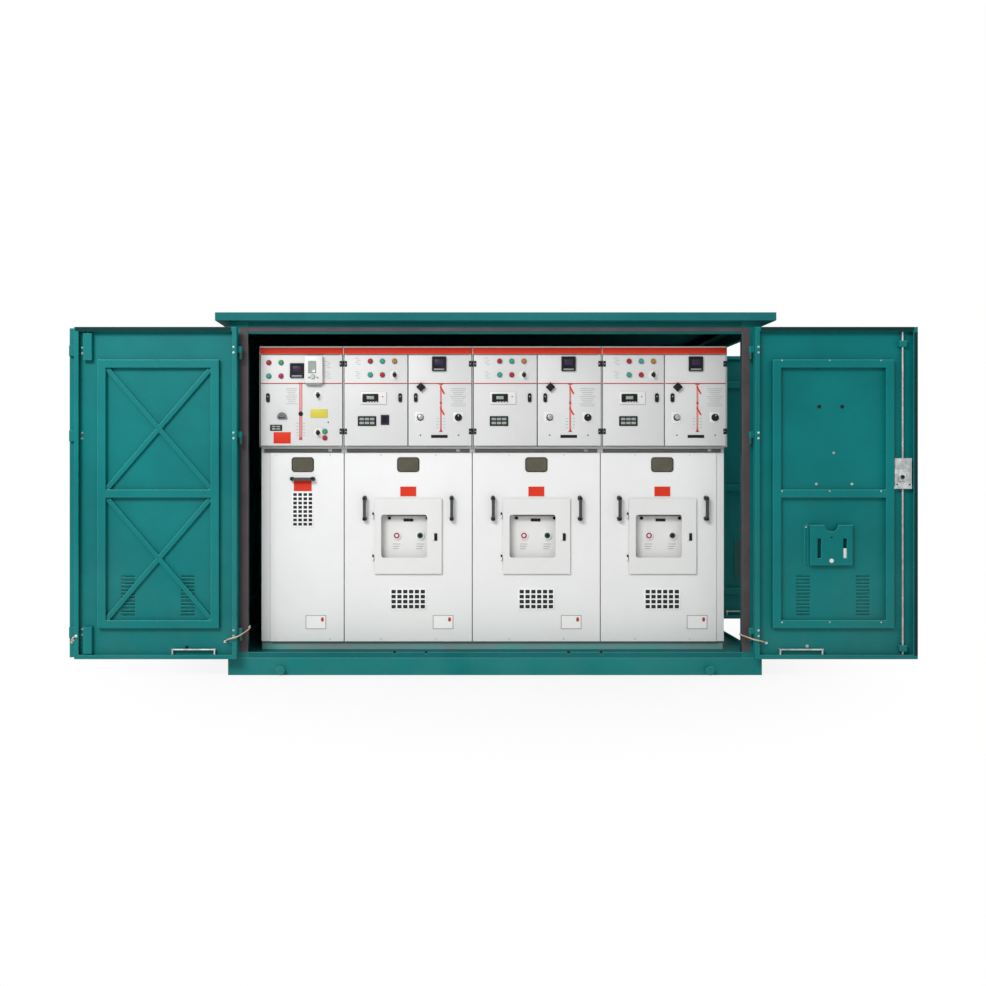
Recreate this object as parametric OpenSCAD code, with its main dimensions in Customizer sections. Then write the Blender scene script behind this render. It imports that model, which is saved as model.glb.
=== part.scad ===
// Outdoor cable branch kiosk: sheet-steel housing on a channel base,
// with three-leaf front doors, a side door and a row of four switch cubicles.
// Millimetres, Z up, front faces -Y, origin under the middle of the base.

/* [Piece] */
// Piece to draw, or "all"

/* [Enclosure] */
// Width over the base channels
base_w = 3010; // [2400:10:3700]
// Depth over the base channels
base_d = 1400; // [1150:10:1700]
// Height of the base channels
base_h = 98; // [70:1:140]
// Height of every door leaf
leaf_h = 1842; // [1500:1:2250]
// Thickness of a door leaf
leaf_t = 40; // [30:1:50]
// Face width of the corner posts
post_w = 108; // [80:1:140]
// Roof overhang past the base
eaves = 60; // [56:1:90]
// Height of the roof fascia
fascia_h = 45; // [35:1:70]
// Rise of the roof from fascia to ridge
roof_rise = 26; // [10:1:80]

/* [Door leaves] */
// Width of an outer front leaf
leaf_w = 900; // [700:1:930]
// Distance from the frame face to a hinge axis
hinge_out = 50; // [46:1:60]
// Distance from a hinge axis to its leaf
hinge_gap = 14; // [14:1:20]
// Width of the lip turned in round a leaf
lip_w = 24; // [15:1:35]
// Face width of the stiffener channels
rib_w = 45; // [30:1:60]
// Distance from the hinge edge to the stiffener frame
rib_from_hinge = 100; // [60:1:140]
// Distance from the free edge to the stiffener frame
rib_from_free = 126; // [126:1:180]
// Width of the crossed braces
brace_w = 27; // [20:1:40]
// Louvres in one column
louvre_n = 12; // [6:1:12]
// Distance between two louvres
louvre_pitch = 19.5; // [16:0.5:24]
// Width of a louvre
louvre_w = 80; // [60:1:100]
// How far a louvre is pressed out
louvre_out = 5; // [3:0.5:6]

/* [Cubicles] */
// Width share of the narrow first cubicle
first_share = 0.179; // [0.15:0.001:0.22]
// Width share of the last cubicle
last_share = 0.2675; // [0.22:0.001:0.3]
// Height of the instrument boxes
box_h = 583; // [450:1:640]
// Height of the plinth under the cubicles
plinth_h = 54; // [40:1:80]
// Height of the fixed header over the instrument doors
header_h = 46; // [35:1:60]
// Gap between instrument boxes and lower covers
strip_h = 34; // [25:1:50]
// How far the lower covers stand behind the frame face
cover_back = 205; // [190:1:240]
// How far the instrument boxes overhang the lower covers
box_over = 54; // [40:1:70]
// Clear aisle behind the cubicles
aisle = 250; // [150:1:350]

/* [Fittings] */
// Diameter of the lifting trunnions
pin_d = 50; // [40:1:60]
// How far the trunnions stand out of the base
pin_out = 38; // [25:1:60]
// Diameter of the foundation bolt holes
bolt_d = 18; // [14:1:22]
// Diameter of an earthing braid
braid_d = 8; // [6:1:12]

/* [Hidden] */
$fn = 40;
sheet = 2.5;
post_t = 3;
half_w = base_w / 2;
half_d = base_d / 2;
face_x = half_w - 5;
face_y = half_d;
floor_t = 3;
floor_z = base_h + floor_t;
leaf_z = base_h + 10;
leaf_top = leaf_z + leaf_h;
head_z = leaf_top - 25;
eave_z = leaf_top + 41;
seal_w = 35;
seal_gap = hinge_out - leaf_t - 1;
fold_gap = 2 * louvre_out + 2;
open_x = face_x - post_w;
open_y = face_y - post_w;
axis_x = half_w - 81;
axis_y = -face_y - hinge_out;
side_axis_x = face_x + hinge_out;
side_axis_y = face_y - 67;
side_leaf_w = 2 * (side_axis_y - hinge_gap) + 10;
inner_y = axis_y - leaf_t - 1;
strip_w = 45;
folded_w = axis_x + hinge_gap + leaf_w + strip_w - half_w - 10;
hinge_levels = [0.072, 0.667, 0.925];
row_x = open_x - 37;
row_w = 2 * row_x;
wide_w = row_w * (1 - first_share - last_share) / 2;
unit_w = [row_w * first_share, wide_w, wide_w, row_w * last_share];
unit_x = [-row_x, -row_x + unit_w[0], -row_x + unit_w[0] + wide_w, -row_x + unit_w[0] + 2 * wide_w];
cover_y = -face_y + cover_back;
body_y = cover_y + 25;
box_y = cover_y - box_over;
body_back = face_y - aisle;
cover_z = base_h + plinth_h;
box_top = leaf_top - 77;
box_z = box_top - box_h;
cover_top = box_z - strip_h;
cover_h = cover_top - cover_z;
door_t = 16;
door_gap = 5;
brace_t = 14;
brace_off = 3;
rim = 1.5;
pivot_in = 9;
door_h = box_h - header_h - rim - 2 * door_gap;
hatch_w = 392;
hatch_k = cover_h / 1104;
hatch_h = 440 * hatch_k;
hatch_t = 10;
window_w = 122;
window_h = 78;
green = [0.10, 0.50, 0.48];
green_dark = [0.06, 0.38, 0.37];
grey = [0.88, 0.88, 0.87];
zinc = [0.70, 0.73, 0.76];
black = [0.07, 0.07, 0.07];

// ---------- shared shapes ----------

module box3(x, y, z) {
    translate([x[0], y[0], z[0]]) cube([x[1] - x[0], y[1] - y[0], z[1] - z[0]]);
}

module rod_y(r, y0, y1) {
    translate([0, y1, 0]) rotate([90, 0, 0]) cylinder(r = r, h = y1 - y0);
}

// A rectangle with round corners in the XZ plane, from y0 back to y1.
module round_slab(w, h, r, y0, y1) {
    translate([0, y1, 0]) rotate([90, 0, 0]) linear_extrude(height = y1 - y0) {
        translate([-w / 2 + r, -h / 2]) square([w - 2 * r, h]);
        translate([-w / 2, -h / 2 + r]) square([w, h - 2 * r]);
        for (x = [-1, 1], z = [-1, 1]) translate([x * (w / 2 - r), z * (h / 2 - r)]) circle(r = r);
    }
}

module link(a, b, r, sides = 8) {
    d = b - a;
    len = norm(d);
    translate(a) rotate([0, acos(d[2] / len), atan2(d[1], d[0])])
        cylinder(r = r, h = len, $fn = sides);
}

// Section across one louvre: y runs out of the skin, z up from the slot.
function louvre_section(out, wall) = [[-sheet - wall, 7 - wall], [-wall, 7 - wall],
    [out - wall, -4], [out - wall, -5 - wall], [-sheet - wall, -5 - wall]];

// Column of louvres pressed out of the skin, each a hood with closed ends and its mouth down.
module louvre_hoods(n, pitch) {
    for (i = [0:n - 1]) translate([-louvre_w / 2, leaf_t, i * pitch])
        rotate([90, 0, 90]) linear_extrude(height = louvre_w)
            polygon([[-1, 8], [0, 8], [louvre_out, -2], [louvre_out, -5], [-1, -5]]);
}

module louvre_mouths(n, pitch) {
    wall = 1.5;
    for (i = [0:n - 1]) translate([-louvre_w / 2 + wall, leaf_t, i * pitch])
        rotate([90, 0, 90]) linear_extrude(height = louvre_w - 2 * wall)
            polygon(louvre_section(louvre_out, wall));
}

// A leaf: skin at y = leaf_t, lips at y = 0, hinge edge at x = 0.
module tray(w, h, columns = [0.31, 0.68], louvre_z = 0.13, pitch = louvre_pitch) {
    difference() {
        union() {
            cube([w, leaf_t, h]);
            for (c = columns) translate([c * w, 0, louvre_z * h + 3]) louvre_hoods(louvre_n, pitch);
        }
        translate([sheet, sheet, sheet]) cube([w - 2 * sheet, leaf_t - 2 * sheet, h - 2 * sheet]);
        translate([lip_w, -1, lip_w]) cube([w - 2 * lip_w, sheet + 2, h - 2 * lip_w]);
        for (c = columns) translate([c * w, 0, louvre_z * h + 3]) louvre_mouths(louvre_n, pitch);
    }
}

// Stiffener frame on the skin of a leaf, from x0 to x1, drawn in leaf axes.
module rib_frame(w, h) {
    x0 = rib_from_hinge;
    x1 = w - rib_from_free;
    z0 = rib_z0(h);
    z1 = rib_z1(h);
    zm = rib_zm(h);
    for (x = [x0, x1 - rib_w]) channel([x, z0], [rib_w, z1 - z0], true);
    for (z = [z0, zm - rib_w / 2, z1 - rib_w])
        channel([x0 + rib_w, z], [x1 - x0 - 2 * rib_w, rib_w], false);
}

function rib_z0(h) = 0.092 * h;
function rib_z1(h) = 0.902 * h;
function rib_zm(h) = 0.498 * h;

// A hat channel open toward the skin.
module channel(at, size, upright) {
    depth = leaf_t - sheet - 8;
    difference() {
        translate([at[0], 8, at[1]]) cube([size[0], depth, size[1]]);
        if (upright)
            translate([at[0] + 3, 11, at[1] - 1]) cube([size[0] - 6, depth, size[1] + 2]);
        else
            translate([at[0] - 1, 11, at[1] + 3]) cube([size[0] + 2, depth, size[1] - 6]);
    }
}

// Two crossed bars between the stiffener channels, clear of the skin.
module cross_brace(x0, x1, z0, z1) {
    wide = x1 - x0;
    high = z1 - z0;
    long = norm([wide, high]);
    tilt = atan2(high, wide);
    translate([0, leaf_t - sheet - brace_off, 0]) rotate([90, 0, 0]) linear_extrude(height = brace_t)
        intersection() {
            translate([x0 - 1, z0 - 1]) square([wide + 2, high + 2]);
            for (s = [-1, 1]) translate([(x0 + x1) / 2, (z0 + z1) / 2]) rotate(s * tilt)
                square([long, brace_w], center = true);
        }
}

// U-shaped pull of round bar lying in the foot of a leaf.
module pull(w, from) {
    r = 5;
    y = leaf_t - sheet;
    for (x = [from, from + w]) {
        translate([x, 0, 50]) rod_y(r, 12, y);
        translate([x, 12 + r, 14]) cylinder(r = r, h = 36);
    }
    translate([from - r, 12 + r, 50]) rotate([0, 90, 0]) cylinder(r = r, h = w + 2 * r);
}

// Moving half of the hinges, in leaf axes.
module leaf_knuckles(h) {
    for (k = hinge_levels)
        translate([-hinge_gap, leaf_t + 1, k * h]) {
            difference() {
                union() {
                    cylinder(r = 9, h = 34);
                    translate([0, -9, 0]) cube([hinge_gap, 7, 34]);
                }
                translate([0, 0, -1]) cylinder(r = 6, h = 36);
            }
        }
}

// Fixed half: arm back to the frame along +Y, pin up the axis.
module fixed_hinge(h) {
    for (k = hinge_levels)
        translate([0, 0, leaf_z + k * h]) {
            translate([0, 0, -36]) cylinder(r = 9, h = 34);
            translate([-6, 5, -36]) cube([31, 12, 34]);
            translate([13, 5, -36]) cube([12, hinge_out - 5, 34]);
            translate([0, 0, -3]) cylinder(r = 5, h = 36);
        }
}

// ---------- base and shell ----------

module base_frame() {
    color(green_dark) difference() {
        union() {
            difference() {
                box3([-half_w, half_w], [-half_d, half_d], [0, base_h]);
                box3([-half_w + 50, half_w - 50], [-half_d + 50, half_d - 50], [-1, base_h + 1]);
                difference() {
                    box3([-half_w + 6, half_w - 6], [-half_d + 6, half_d - 6], [8, base_h - 8]);
                    box3([-half_w + 50, half_w - 50], [-half_d + 50, half_d - 50], [-1, base_h + 1]);
                }
            }
            for (k = [-2:2]) translate([k * 0.28 * half_w, 0, 0]) {
                box3([-30, 30], [-half_d + 50, half_d - 50], [0, 8]);
                box3([-30, 30], [-half_d + 50, half_d - 50], [base_h - 8, base_h]);
                box3([-4, 4], [-half_d + 50, half_d - 50], [8, base_h - 8]);
            }
        }
        for (sx = [-1, 1], sy = [-1, 1])
            translate([sx * (half_w - 155), sy * (half_d - 28), -1])
                cylinder(d = bolt_d, h = 10);
    }
}

module lifting_pins() {
    color(green) for (sx = [-1, 1], sy = [-1, 1])
        translate([sx * 0.8 * half_w, 0, 0.33 * base_h]) {
            if (sy < 0) {
                rod_y(0.3 * pin_d, -half_d - pin_out, -half_d);
                rod_y(0.5 * pin_d, -half_d - pin_out, -half_d - pin_out + 8);
            } else {
                rod_y(0.3 * pin_d, half_d, half_d + pin_out);
                rod_y(0.5 * pin_d, half_d + pin_out - 8, half_d + pin_out);
            }
        }
}

module floor_tray() {
    rim_h = 29;
    color(green) difference() {
        union() {
            box3([-face_x, face_x], [-face_y, face_y], [base_h, floor_z]);
            for (s = [-1, 1]) {
                box3([-open_x, open_x], s < 0 ? [-face_y, -face_y + 3] : [face_y - 3, face_y], [floor_z, floor_z + rim_h]);
                box3(s < 0 ? [-face_x, -face_x + 3] : [face_x - 3, face_x], [-open_y, open_y], [floor_z, floor_z + rim_h]);
            }
        }
        for (i = [0:3])
            translate([unit_x[i] + unit_w[i] / 2, (body_y + body_back) / 2, base_h - 1])
                translate([-0.3 * unit_w[i], -0.25 * base_d, 0]) cube([0.6 * unit_w[i], 0.4 * base_d, floor_t + 2]);
        for (m = [-0.188, -0.129, 0.138, 0.199])
            translate([m * base_w, 0, floor_z + rim_h]) rod_y(9, -face_y - 1, -face_y + 4);
    }
}

module corner_posts() {
    back = 30;
    color(green) for (sx = [0, 1], sy = [0, 1]) mirror([sx, 0, 0]) mirror([0, sy, 0])
        translate([face_x, face_y, floor_z])
            linear_extrude(height = eave_z - floor_z)
                union() {
                    translate([-post_w, -post_t]) square([post_w, post_t]);
                    translate([-post_t, -post_w]) square([post_t, post_w]);
                    translate([-post_w, -back]) square([post_t, back]);
                    translate([-back, -post_w]) square([back, post_t]);
                }
}

module top_frame() {
    color(green_dark) for (s = [-1, 1]) {
        scale([1, s, 1]) {
            box3([-open_x, open_x], [face_y - post_t, face_y], [head_z, eave_z]);
            box3([-open_x, open_x], [face_y - 30, face_y - post_t], [head_z, head_z + post_t]);
            box3([-open_x, open_x], [face_y - 60, face_y - post_t], [eave_z - post_t, eave_z]);
        }
        scale([s, 1, 1]) {
            box3([face_x - post_t, face_x], [-open_y, open_y], [head_z, eave_z]);
            box3([face_x - 30, face_x - post_t], [-open_y, open_y], [head_z, head_z + post_t]);
            box3([face_x - 60, face_x - post_t], [-open_y, open_y], [eave_z - post_t, eave_z]);
        }
    }
}

module roof_shape(inset) {
    d = half_d + eaves - inset;
    polygon([[-d, eave_z + inset], [-d, eave_z + fascia_h - inset], [0, eave_z + fascia_h + roof_rise - inset],
             [d, eave_z + fascia_h - inset], [d, eave_z + inset]]);
}

module roof() {
    w = half_w + eaves;
    color(green) difference() {
        translate([-w, 0, 0]) rotate([90, 0, 90]) linear_extrude(height = 2 * w) roof_shape(0);
        translate([-w + sheet, 0, 0]) rotate([90, 0, 90])
            linear_extrude(height = 2 * (w - sheet)) roof_shape(sheet);
        box3([-face_x + 70, face_x - 70], [-face_y + 70, face_y - 70], [eave_z - 1, eave_z + sheet + 1]);
    }
}

module seal_ring(across, t) {
    outer = across + 9 + seal_w;
    inner = across + 9;
    for (s = [0, 1]) mirror([s, 0, 0])
        box3([inner, outer], [0, t], [leaf_z + 24, leaf_top + 10]);
    box3([-inner, inner], [0, t], [leaf_top - 13, leaf_top + 10]);
}

module door_seals() {
    color([0.29, 0.28, 0.27]) {
        translate([0, -face_y, 0]) scale([1, -1, 1]) seal_ring(open_x, 3);
        translate([0, face_y, 0]) seal_ring(open_x, seal_gap);
        translate([face_x, 0, 0]) rotate([0, 0, -90]) seal_ring(open_y, 3);
        translate([-face_x, 0, 0]) rotate([0, 0, 90]) seal_ring(open_y, seal_gap);
    }
}

module rear_leaves() {
    middle = 2 * (axis_x - hinge_gap - leaf_w) - 30;
    y = face_y + seal_gap;
    color(green) {
        for (s = [0, 1]) mirror([s, 0, 0])
            translate([-axis_x + hinge_gap, y, leaf_z]) {
                tray(leaf_w, leaf_h);
                rib_frame(leaf_w, leaf_h);
                leaf_knuckles(leaf_h);
            }
        translate([-middle / 2, y, leaf_z]) {
            tray(middle, leaf_h);
            rib_frame(middle, leaf_h);
        }
    }
}

module left_side_leaf() {
    color(green) translate([-face_x - seal_gap, -side_axis_y + hinge_gap - 10, leaf_z])
        rotate([0, 0, 90]) {
            tray(side_leaf_w, leaf_h);
            rib_frame(side_leaf_w, leaf_h);
        }
}

module fixed_hinges() {
    color(zinc) {
        for (s = [0, 1]) mirror([s, 0, 0]) translate([axis_x, axis_y, 0]) fixed_hinge(leaf_h);
        for (s = [0, 1]) mirror([s, 0, 0]) translate([axis_x, face_y + hinge_out, 0])
            mirror([0, 1, 0]) fixed_hinge(leaf_h);
        translate([side_axis_x, side_axis_y, 0]) rotate([0, 0, 90]) fixed_hinge(leaf_h);
    }
}

// ---------- front and side doors, standing open ----------

module open_leaf_at(side) {
    mirror([side < 0 ? 1 : 0, 0, 0]) translate([axis_x + hinge_gap, inner_y, leaf_z]) children();
}

module left_leaf() {
    color(green) open_leaf_at(-1) {
        tray(leaf_w, leaf_h);
        leaf_knuckles(leaf_h);
    }
}

module left_stiffeners() {
    x0 = rib_from_hinge + rib_w;
    x1 = leaf_w - rib_from_free - rib_w;
    color(green) open_leaf_at(-1) {
        rib_frame(leaf_w, leaf_h);
        cross_brace(x0, x1, rib_zm(leaf_h) + rib_w / 2, rib_z1(leaf_h) - rib_w);
        cross_brace(x0, x1, rib_z0(leaf_h) + rib_w, rib_zm(leaf_h) - rib_w / 2);
    }
}

module bolt_box(z, up) {
    x = leaf_w - 95;
    y1 = leaf_t - sheet;
    difference() {
        box3([x, x + 48], [6, y1], [z, z + 150]);
        box3([x + 3, x + 45], [9, y1 + 1], [z + 3, z + 147]);
    }
    translate([x + 24, 20, up ? z + 147 : z - 12]) cylinder(r = 6, h = 15);
}

module left_fittings() {
    color(zinc) open_leaf_at(-1) {
        bolt_box(leaf_h - 185, true);
        bolt_box(28, false);
        pull(0.26 * leaf_w, 0.14 * leaf_w);
    }
}

module folded_leaf() {
    far = axis_x + hinge_gap + leaf_w;
    y = inner_y + leaf_t + fold_gap;
    color(green) {
        translate([-far - strip_w, y + leaf_t, leaf_z]) scale([1, -1, 1]) {
            tray(folded_w, leaf_h);
            rib_frame(folded_w, leaf_h);
        }
        for (k = hinge_levels)
            box3([-far - strip_w + 5, -far], [inner_y + leaf_t - 10, y], [leaf_z + k * leaf_h - 20, leaf_z + k * leaf_h + 40]);
    }
}

module right_leaf() {
    color(green) open_leaf_at(1) {
        tray(leaf_w, leaf_h);
        leaf_knuckles(leaf_h);
    }
}

module right_stiffeners() {
    color(green) open_leaf_at(1) rib_frame(leaf_w, leaf_h);
}

module document_pocket() {
    x0 = 0.34 * leaf_w;
    w = 0.26 * leaf_w;
    z0 = 0.282 * leaf_h;
    h = 0.122 * leaf_h;
    y1 = leaf_t - sheet;
    color(green) open_leaf_at(1) {
        difference() {
            box3([x0, x0 + w], [4, y1], [z0, z0 + h]);
            box3([x0 + 2, x0 + w - 2], [6, y1 + 1], [z0 + 2, z0 + h + 1]);
            translate([x0 + w / 2, 0, z0 + h]) rod_y(0.16 * w, 3, 7);
            for (s = [0.17, 0.78]) box3([x0 + s * w, x0 + s * w + 20], [3, 7], [z0 + 0.18 * h, z0 + 0.66 * h]);
        }
        for (x = [x0 - 22, x0 + w]) box3([x, x + 22], [y1 - 2, y1], [z0, z0 + h]);
    }
}

module right_lock() {
    x0 = leaf_w - rib_from_free + 1;
    y1 = leaf_t - sheet;
    zm = 0.517 * leaf_h;
    xc = x0 + 50;
    color(zinc) open_leaf_at(1) {
        box3([x0, x0 + 94], [5, y1], [zm, zm + 0.088 * leaf_h]);
        translate([xc, 20, sheet]) cylinder(r = 6, h = zm - sheet);
        translate([xc, 20, zm + 0.088 * leaf_h]) cylinder(r = 6, h = 0.912 * leaf_h - zm - sheet);
        for (z = [40, leaf_h - 110]) difference() {
            box3([xc - 20, xc + 20], [10, y1], [z, z + 35]);
            translate([xc, 20, z - 1]) cylinder(r = 6, h = 37);
        }
        pull(0.26 * leaf_w, 0.16 * leaf_w);
    }
}

module side_at() {
    translate([side_axis_x + hinge_gap, side_axis_y - leaf_t - 1, leaf_z]) children();
}

module side_leaf() {
    color(green) side_at() {
        tray(side_leaf_w, leaf_h, [0.21, 0.79], 0.155, louvre_pitch + 2.5);
        leaf_knuckles(leaf_h);
    }
}

module side_stiffeners() {
    color(green) side_at() rib_frame(side_leaf_w, leaf_h);
}

module side_pull() {
    color(zinc) side_at() pull(0.19 * side_leaf_w, 0.12 * side_leaf_w);
}

// ---------- cubicles ----------

module housing(i) {
    x0 = unit_x[i];
    x1 = x0 + unit_w[i];
    xm = (x0 + x1) / 2;
    back = box_y + 300;
    head = box_top - header_h;
    pivot_x = door_gap + rim + pivot_in;
    color(grey) {
        difference() {
            union() {
                box3([x0, x1], [body_y, body_back], [cover_z, box_z]);
                box3([x0, x1], [back, body_back], [box_z, box_z + 0.7 * box_h]);
                box3([x0, x1], [box_y, back + 3], [box_z, box_top]);
            }
            box3([x0 + rim, x1 - rim], [box_y - 1, back], [box_z + rim, head]);
            box3([x0 + rim, x1 - rim], [box_y + rim, back], [head - 1, box_top - rim]);
            if (i > 0) translate([xm, 0, hatch_z(i) + hatch_h / 2])
                box3([-170, 170], [body_y - 1, body_y + 70], [-hatch_h / 2 + 60, hatch_h / 2 - 40]);
            for (k = [0:5]) translate([0, body_back, cover_z + 250 + 26 * k])
                box3([x0 + 60, x1 - 60], [-3, 1], [0, 12]);
        }
        box3([x0 + rim, x1 - rim], [box_y + rim, box_y + door_t + 4], [head, head + rim]);
        for (x = i > 0 ? [x0 + pivot_x, x1 - pivot_x] : [x1 - pivot_x]) translate([x, box_y + door_t / 2, 0]) {
            translate([0, 0, box_z + rim]) cylinder(r = 3, h = 9);
            translate([0, 0, head - 9]) cylinder(r = 3, h = 9);
        }
        box3([x0 + 30, x1 - 30], [back - 6, back], [box_z + 60, box_top - 60]);
        for (k = [0.3, 0.62]) translate([0, 0, box_z + k * box_h])
            box3([x0 + 50, x1 - 50], [back - 46, back - 6], [0, 45]);
    }
}

function leaf_of(i) = i == 0 ? unit_w[0] - 2 * (door_gap + rim) : (unit_w[i] - 2 * (door_gap + rim) - 6) / 2;
function hatch_z(i) = cover_z + 397 * hatch_k;

module housing_1() { housing(0); }
module housing_2() { housing(1); }
module housing_3() { housing(2); }
module housing_4() { housing(3); }

module plinths() {
    color([0.55, 0.60, 0.58]) for (i = [0:3]) difference() {
        box3([unit_x[i], unit_x[i] + unit_w[i]], [body_y, body_back], [floor_z, cover_z]);
        box3([unit_x[i] + 3, unit_x[i] + unit_w[i] - 3], [body_y + 3, body_back - 3], [floor_z - 1, cover_z + 1]);
    }
}

module vent(xm, z, w, h, cols, rows) {
    for (c = [0:cols - 1], r = [0:rows - 1])
        box3([xm - w / 2 + (c + 0.15) * w / cols, xm - w / 2 + (c + 0.85) * w / cols], [cover_y - 1, cover_y + 4],
             [z + (r + 0.3) * h / rows, z + (r + 0.75) * h / rows]);
}

module cover(i) {
    x0 = unit_x[i] + (i == 0 ? 52 : 3);
    x1 = unit_x[i] + unit_w[i] - (i == 3 ? 46 : 3);
    xm = unit_x[i] + unit_w[i] / 2;
    color(grey) {
        difference() {
            box3([x0, x1], [cover_y, body_y], [cover_z, cover_top]);
            box3([x0 + 2, x1 - 2], [cover_y + 2, body_y + 1], [cover_z + 2, cover_top - 2]);
            translate([xm, 0, cover_top - 30 - window_h / 2]) round_slab(window_w, window_h, 14, cover_y - 1, cover_y + 3);
            if (i == 0) vent(xm, cover_z + 0.61 * cover_h, 120, 0.18 * cover_h, 3, 4);
            else {
                vent(xm, cover_z + 0.171 * cover_h, 205, 0.106 * cover_h, 4, 3);
                box3([xm - 165, xm + 165], [cover_y - 1, cover_y + 3], [hatch_z(i) + 70, hatch_z(i) + hatch_h - 50]);
            }
        }
        if (i > 0) for (k = [0.22, 0.78])
            translate([xm - hatch_w / 2 - 10, cover_y - 11, hatch_z(i) + k * hatch_h]) {
                translate([0, 0, -17]) cylinder(r = 5, h = 16);
                translate([-5, 0, -17]) cube([10, 11, 16]);
                translate([0, 0, -2]) cylinder(r = 2, h = 17);
            }
        if (i == 0) box3([unit_x[0], x0 - 2], [cover_y + 6, body_y], [cover_z, cover_top]);
        if (i == 3) box3([x1 + 2, unit_x[3] + unit_w[3]], [cover_y + 6, body_y], [cover_z, cover_top]);
    }
}

module cover_1() { cover(0); }
module cover_2() { cover(1); }
module cover_3() { cover(2); }
module cover_4() { cover(3); }

module cover_glass() {
    color([0.25, 0.27, 0.16]) for (i = [0:3]) {
        xm = unit_x[i] + unit_w[i] / 2;
        translate([xm, 0, cover_top - 30 - window_h / 2])
            round_slab(window_w + 12, window_h + 10, 8, cover_y + 2, cover_y + 5);
    }
}

// Bow handle standing on a cover: two round feet under a flat grip with round ends.
module bow(h, grip_out) {
    r = 9;
    for (z = [r, h - r]) translate([0, 0, z]) {
        rod_y(r, -grip_out + 4, 0);
        rod_y(r + 3, -4, 0);
    }
    translate([0, 0, h / 2]) round_slab(2 * r, h, r - 0.5, -grip_out, -grip_out + 8);
}

module cover_handles() {
    first = 142;
    color(black) {
        for (i = [1:3], s = [-1, 1])
            translate([unit_x[i] + unit_w[i] / 2 + s * 254, cover_y, hatch_z(i) + 314 * hatch_k])
                bow(140 * hatch_k, 40);
        translate([unit_x[0] + (unit_w[0] - first) / 2, cover_y, cover_top - 153])
            rotate([0, 90, 0]) bow(first, 36);
    }
}

module test_panels() {
    color([0.76, 0.70, 0.56]) for (i = [1:3]) {
        xm = unit_x[i] + unit_w[i] / 2;
        y = body_y + 20;
        zc = hatch_z(i) + 0.5 * hatch_h;
        box3([xm - 170, xm + 170], [y, y + 3], [hatch_z(i) + 60, hatch_z(i) + hatch_h - 40]);
        for (s = [-1, 1]) translate([xm + s * 69, 0, zc]) difference() {
            rod_y(24, y - 8, y);
            rod_y(13, y - 9, y - 3);
        }
        box3([xm - 30, xm + 30], [y - 4, y], [zc + 84, zc + 98]);
    }
}

module hatch(i) {
    x0 = unit_x[i] + unit_w[i] / 2 - hatch_w / 2;
    y1 = cover_y - 5;
    z0 = hatch_z(i);
    color(grey) {
        difference() {
            box3([x0, x0 + hatch_w], [y1 - hatch_t, y1], [z0, z0 + hatch_h]);
            box3([x0 + 2, x0 + hatch_w - 2], [y1 - hatch_t + 2, y1 + 1], [z0 + 2, z0 + hatch_h - 2]);
            translate([x0 + 172.5, 0, z0 + hatch_h / 2])
                round_slab(269, 0.572 * hatch_h, 16, y1 - hatch_t - 1, y1 + 1);
        }
        for (k = [0.22, 0.78]) translate([x0 - 10, cover_y - 11, z0 + k * hatch_h]) difference() {
            union() {
                cylinder(r = 5, h = 16);
                translate([0, -4, 0]) cube([10, 4, 16]);
            }
            translate([0, 0, -1]) cylinder(r = 3, h = 18);
        }
        translate([x0 + 345, y1 - hatch_t, z0 + 0.49 * hatch_h]) {
            box3([-10, 10], [-6, 0], [-20, 20]);
        }
    }
}

module hatch_2() { hatch(1); }
module hatch_3() { hatch(2); }
module hatch_4() { hatch(3); }

// Instrument door panel, hinged on the right where it is the first or a second door.
// What stands on it is placed for a door of the usual size and moves with its edges.
module panel(i, second) {
    w = leaf_of(i);
    x0 = unit_x[i] + door_gap + rim + (second ? w + 6 : 0);
    right = i == 0 || second;
    $ku = w / (i == 0 ? 472 : 359);
    $kv = door_h / 525;
    translate([x0, box_y, box_z + rim + door_gap]) {
        difference() {
            cube([w, door_t, door_h]);
            translate([2, 2, 2]) cube([w - 4, door_t, door_h - 4]);
            translate([right ? w - pivot_in : pivot_in, door_t / 2, -1]) cylinder(r = 4, h = door_h + 2);
        }
        for (v = [80, 470])
            translate([right ? w - 11 : 11, 0, v * $kv]) box3([-6, 6], [-3, 0], [-18, 18]);
        translate([right ? 42 : w - 42, 0, 278 * $kv]) round_slab(22, 52, 9, -8, 0);
        children();
    }
}

module knob(u, v, r, out) { translate([u * $ku, 0, v * $kv]) rod_y(r, -out, 0); }
module plate(u, v, w, h, out) { translate([u * $ku, 0, v * $kv]) box3([-w / 2, w / 2], [-out, 0], [-h / 2, h / 2]); }

module first_door() {
    panel(0, false) {
        for (u = [50, 120], v = [404, 481]) knob(u, v, 14, 16);
        plate(211, 436, 82, 84, 14);
        plate(309, 440, 107, 160, 34);
        knob(305, 398, 13, 44);
        knob(332, 293, 24, 12);
        plate(332, 293, 12, 40, 30);
        plate(338, 187, 99, 50, 3);
        knob(124, 166, 26, 20);
        plate(89, 104, 70, 35, 9);
        plate(124, 46, 100, 66, 2);
        knob(332, 76, 20, 20);
        knob(372, 83, 11, 14);
        knob(372, 46, 11, 14);
    }
}

module left_door_panel(i) {
    panel(i, false) {
        for (u = [150, 220, 291], v = [411, 490]) knob(u, v, 14, 16);
        plate(169, 276, 150, 72, 8);
        plate(131, 143, 107, 57, 6);
        if (i == 1) plate(235, 150, 49, 58, 6);
    }
}

module right_door_panel(i) {
    panel(i, true) {
        plate(177, 475, 81, 83, 14);
        translate([72 * $ku, 0, 340 * $kv]) rotate([90, 0, 0]) cylinder(r = 26, h = 26, $fn = 4);
        knob(69, 164, 23, 18);
        knob(289, 164, 21, 18);
        plate(180, 55, 96, 17, 4);
        plate(188, 220, 4, 276, 1);
    }
}

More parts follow.
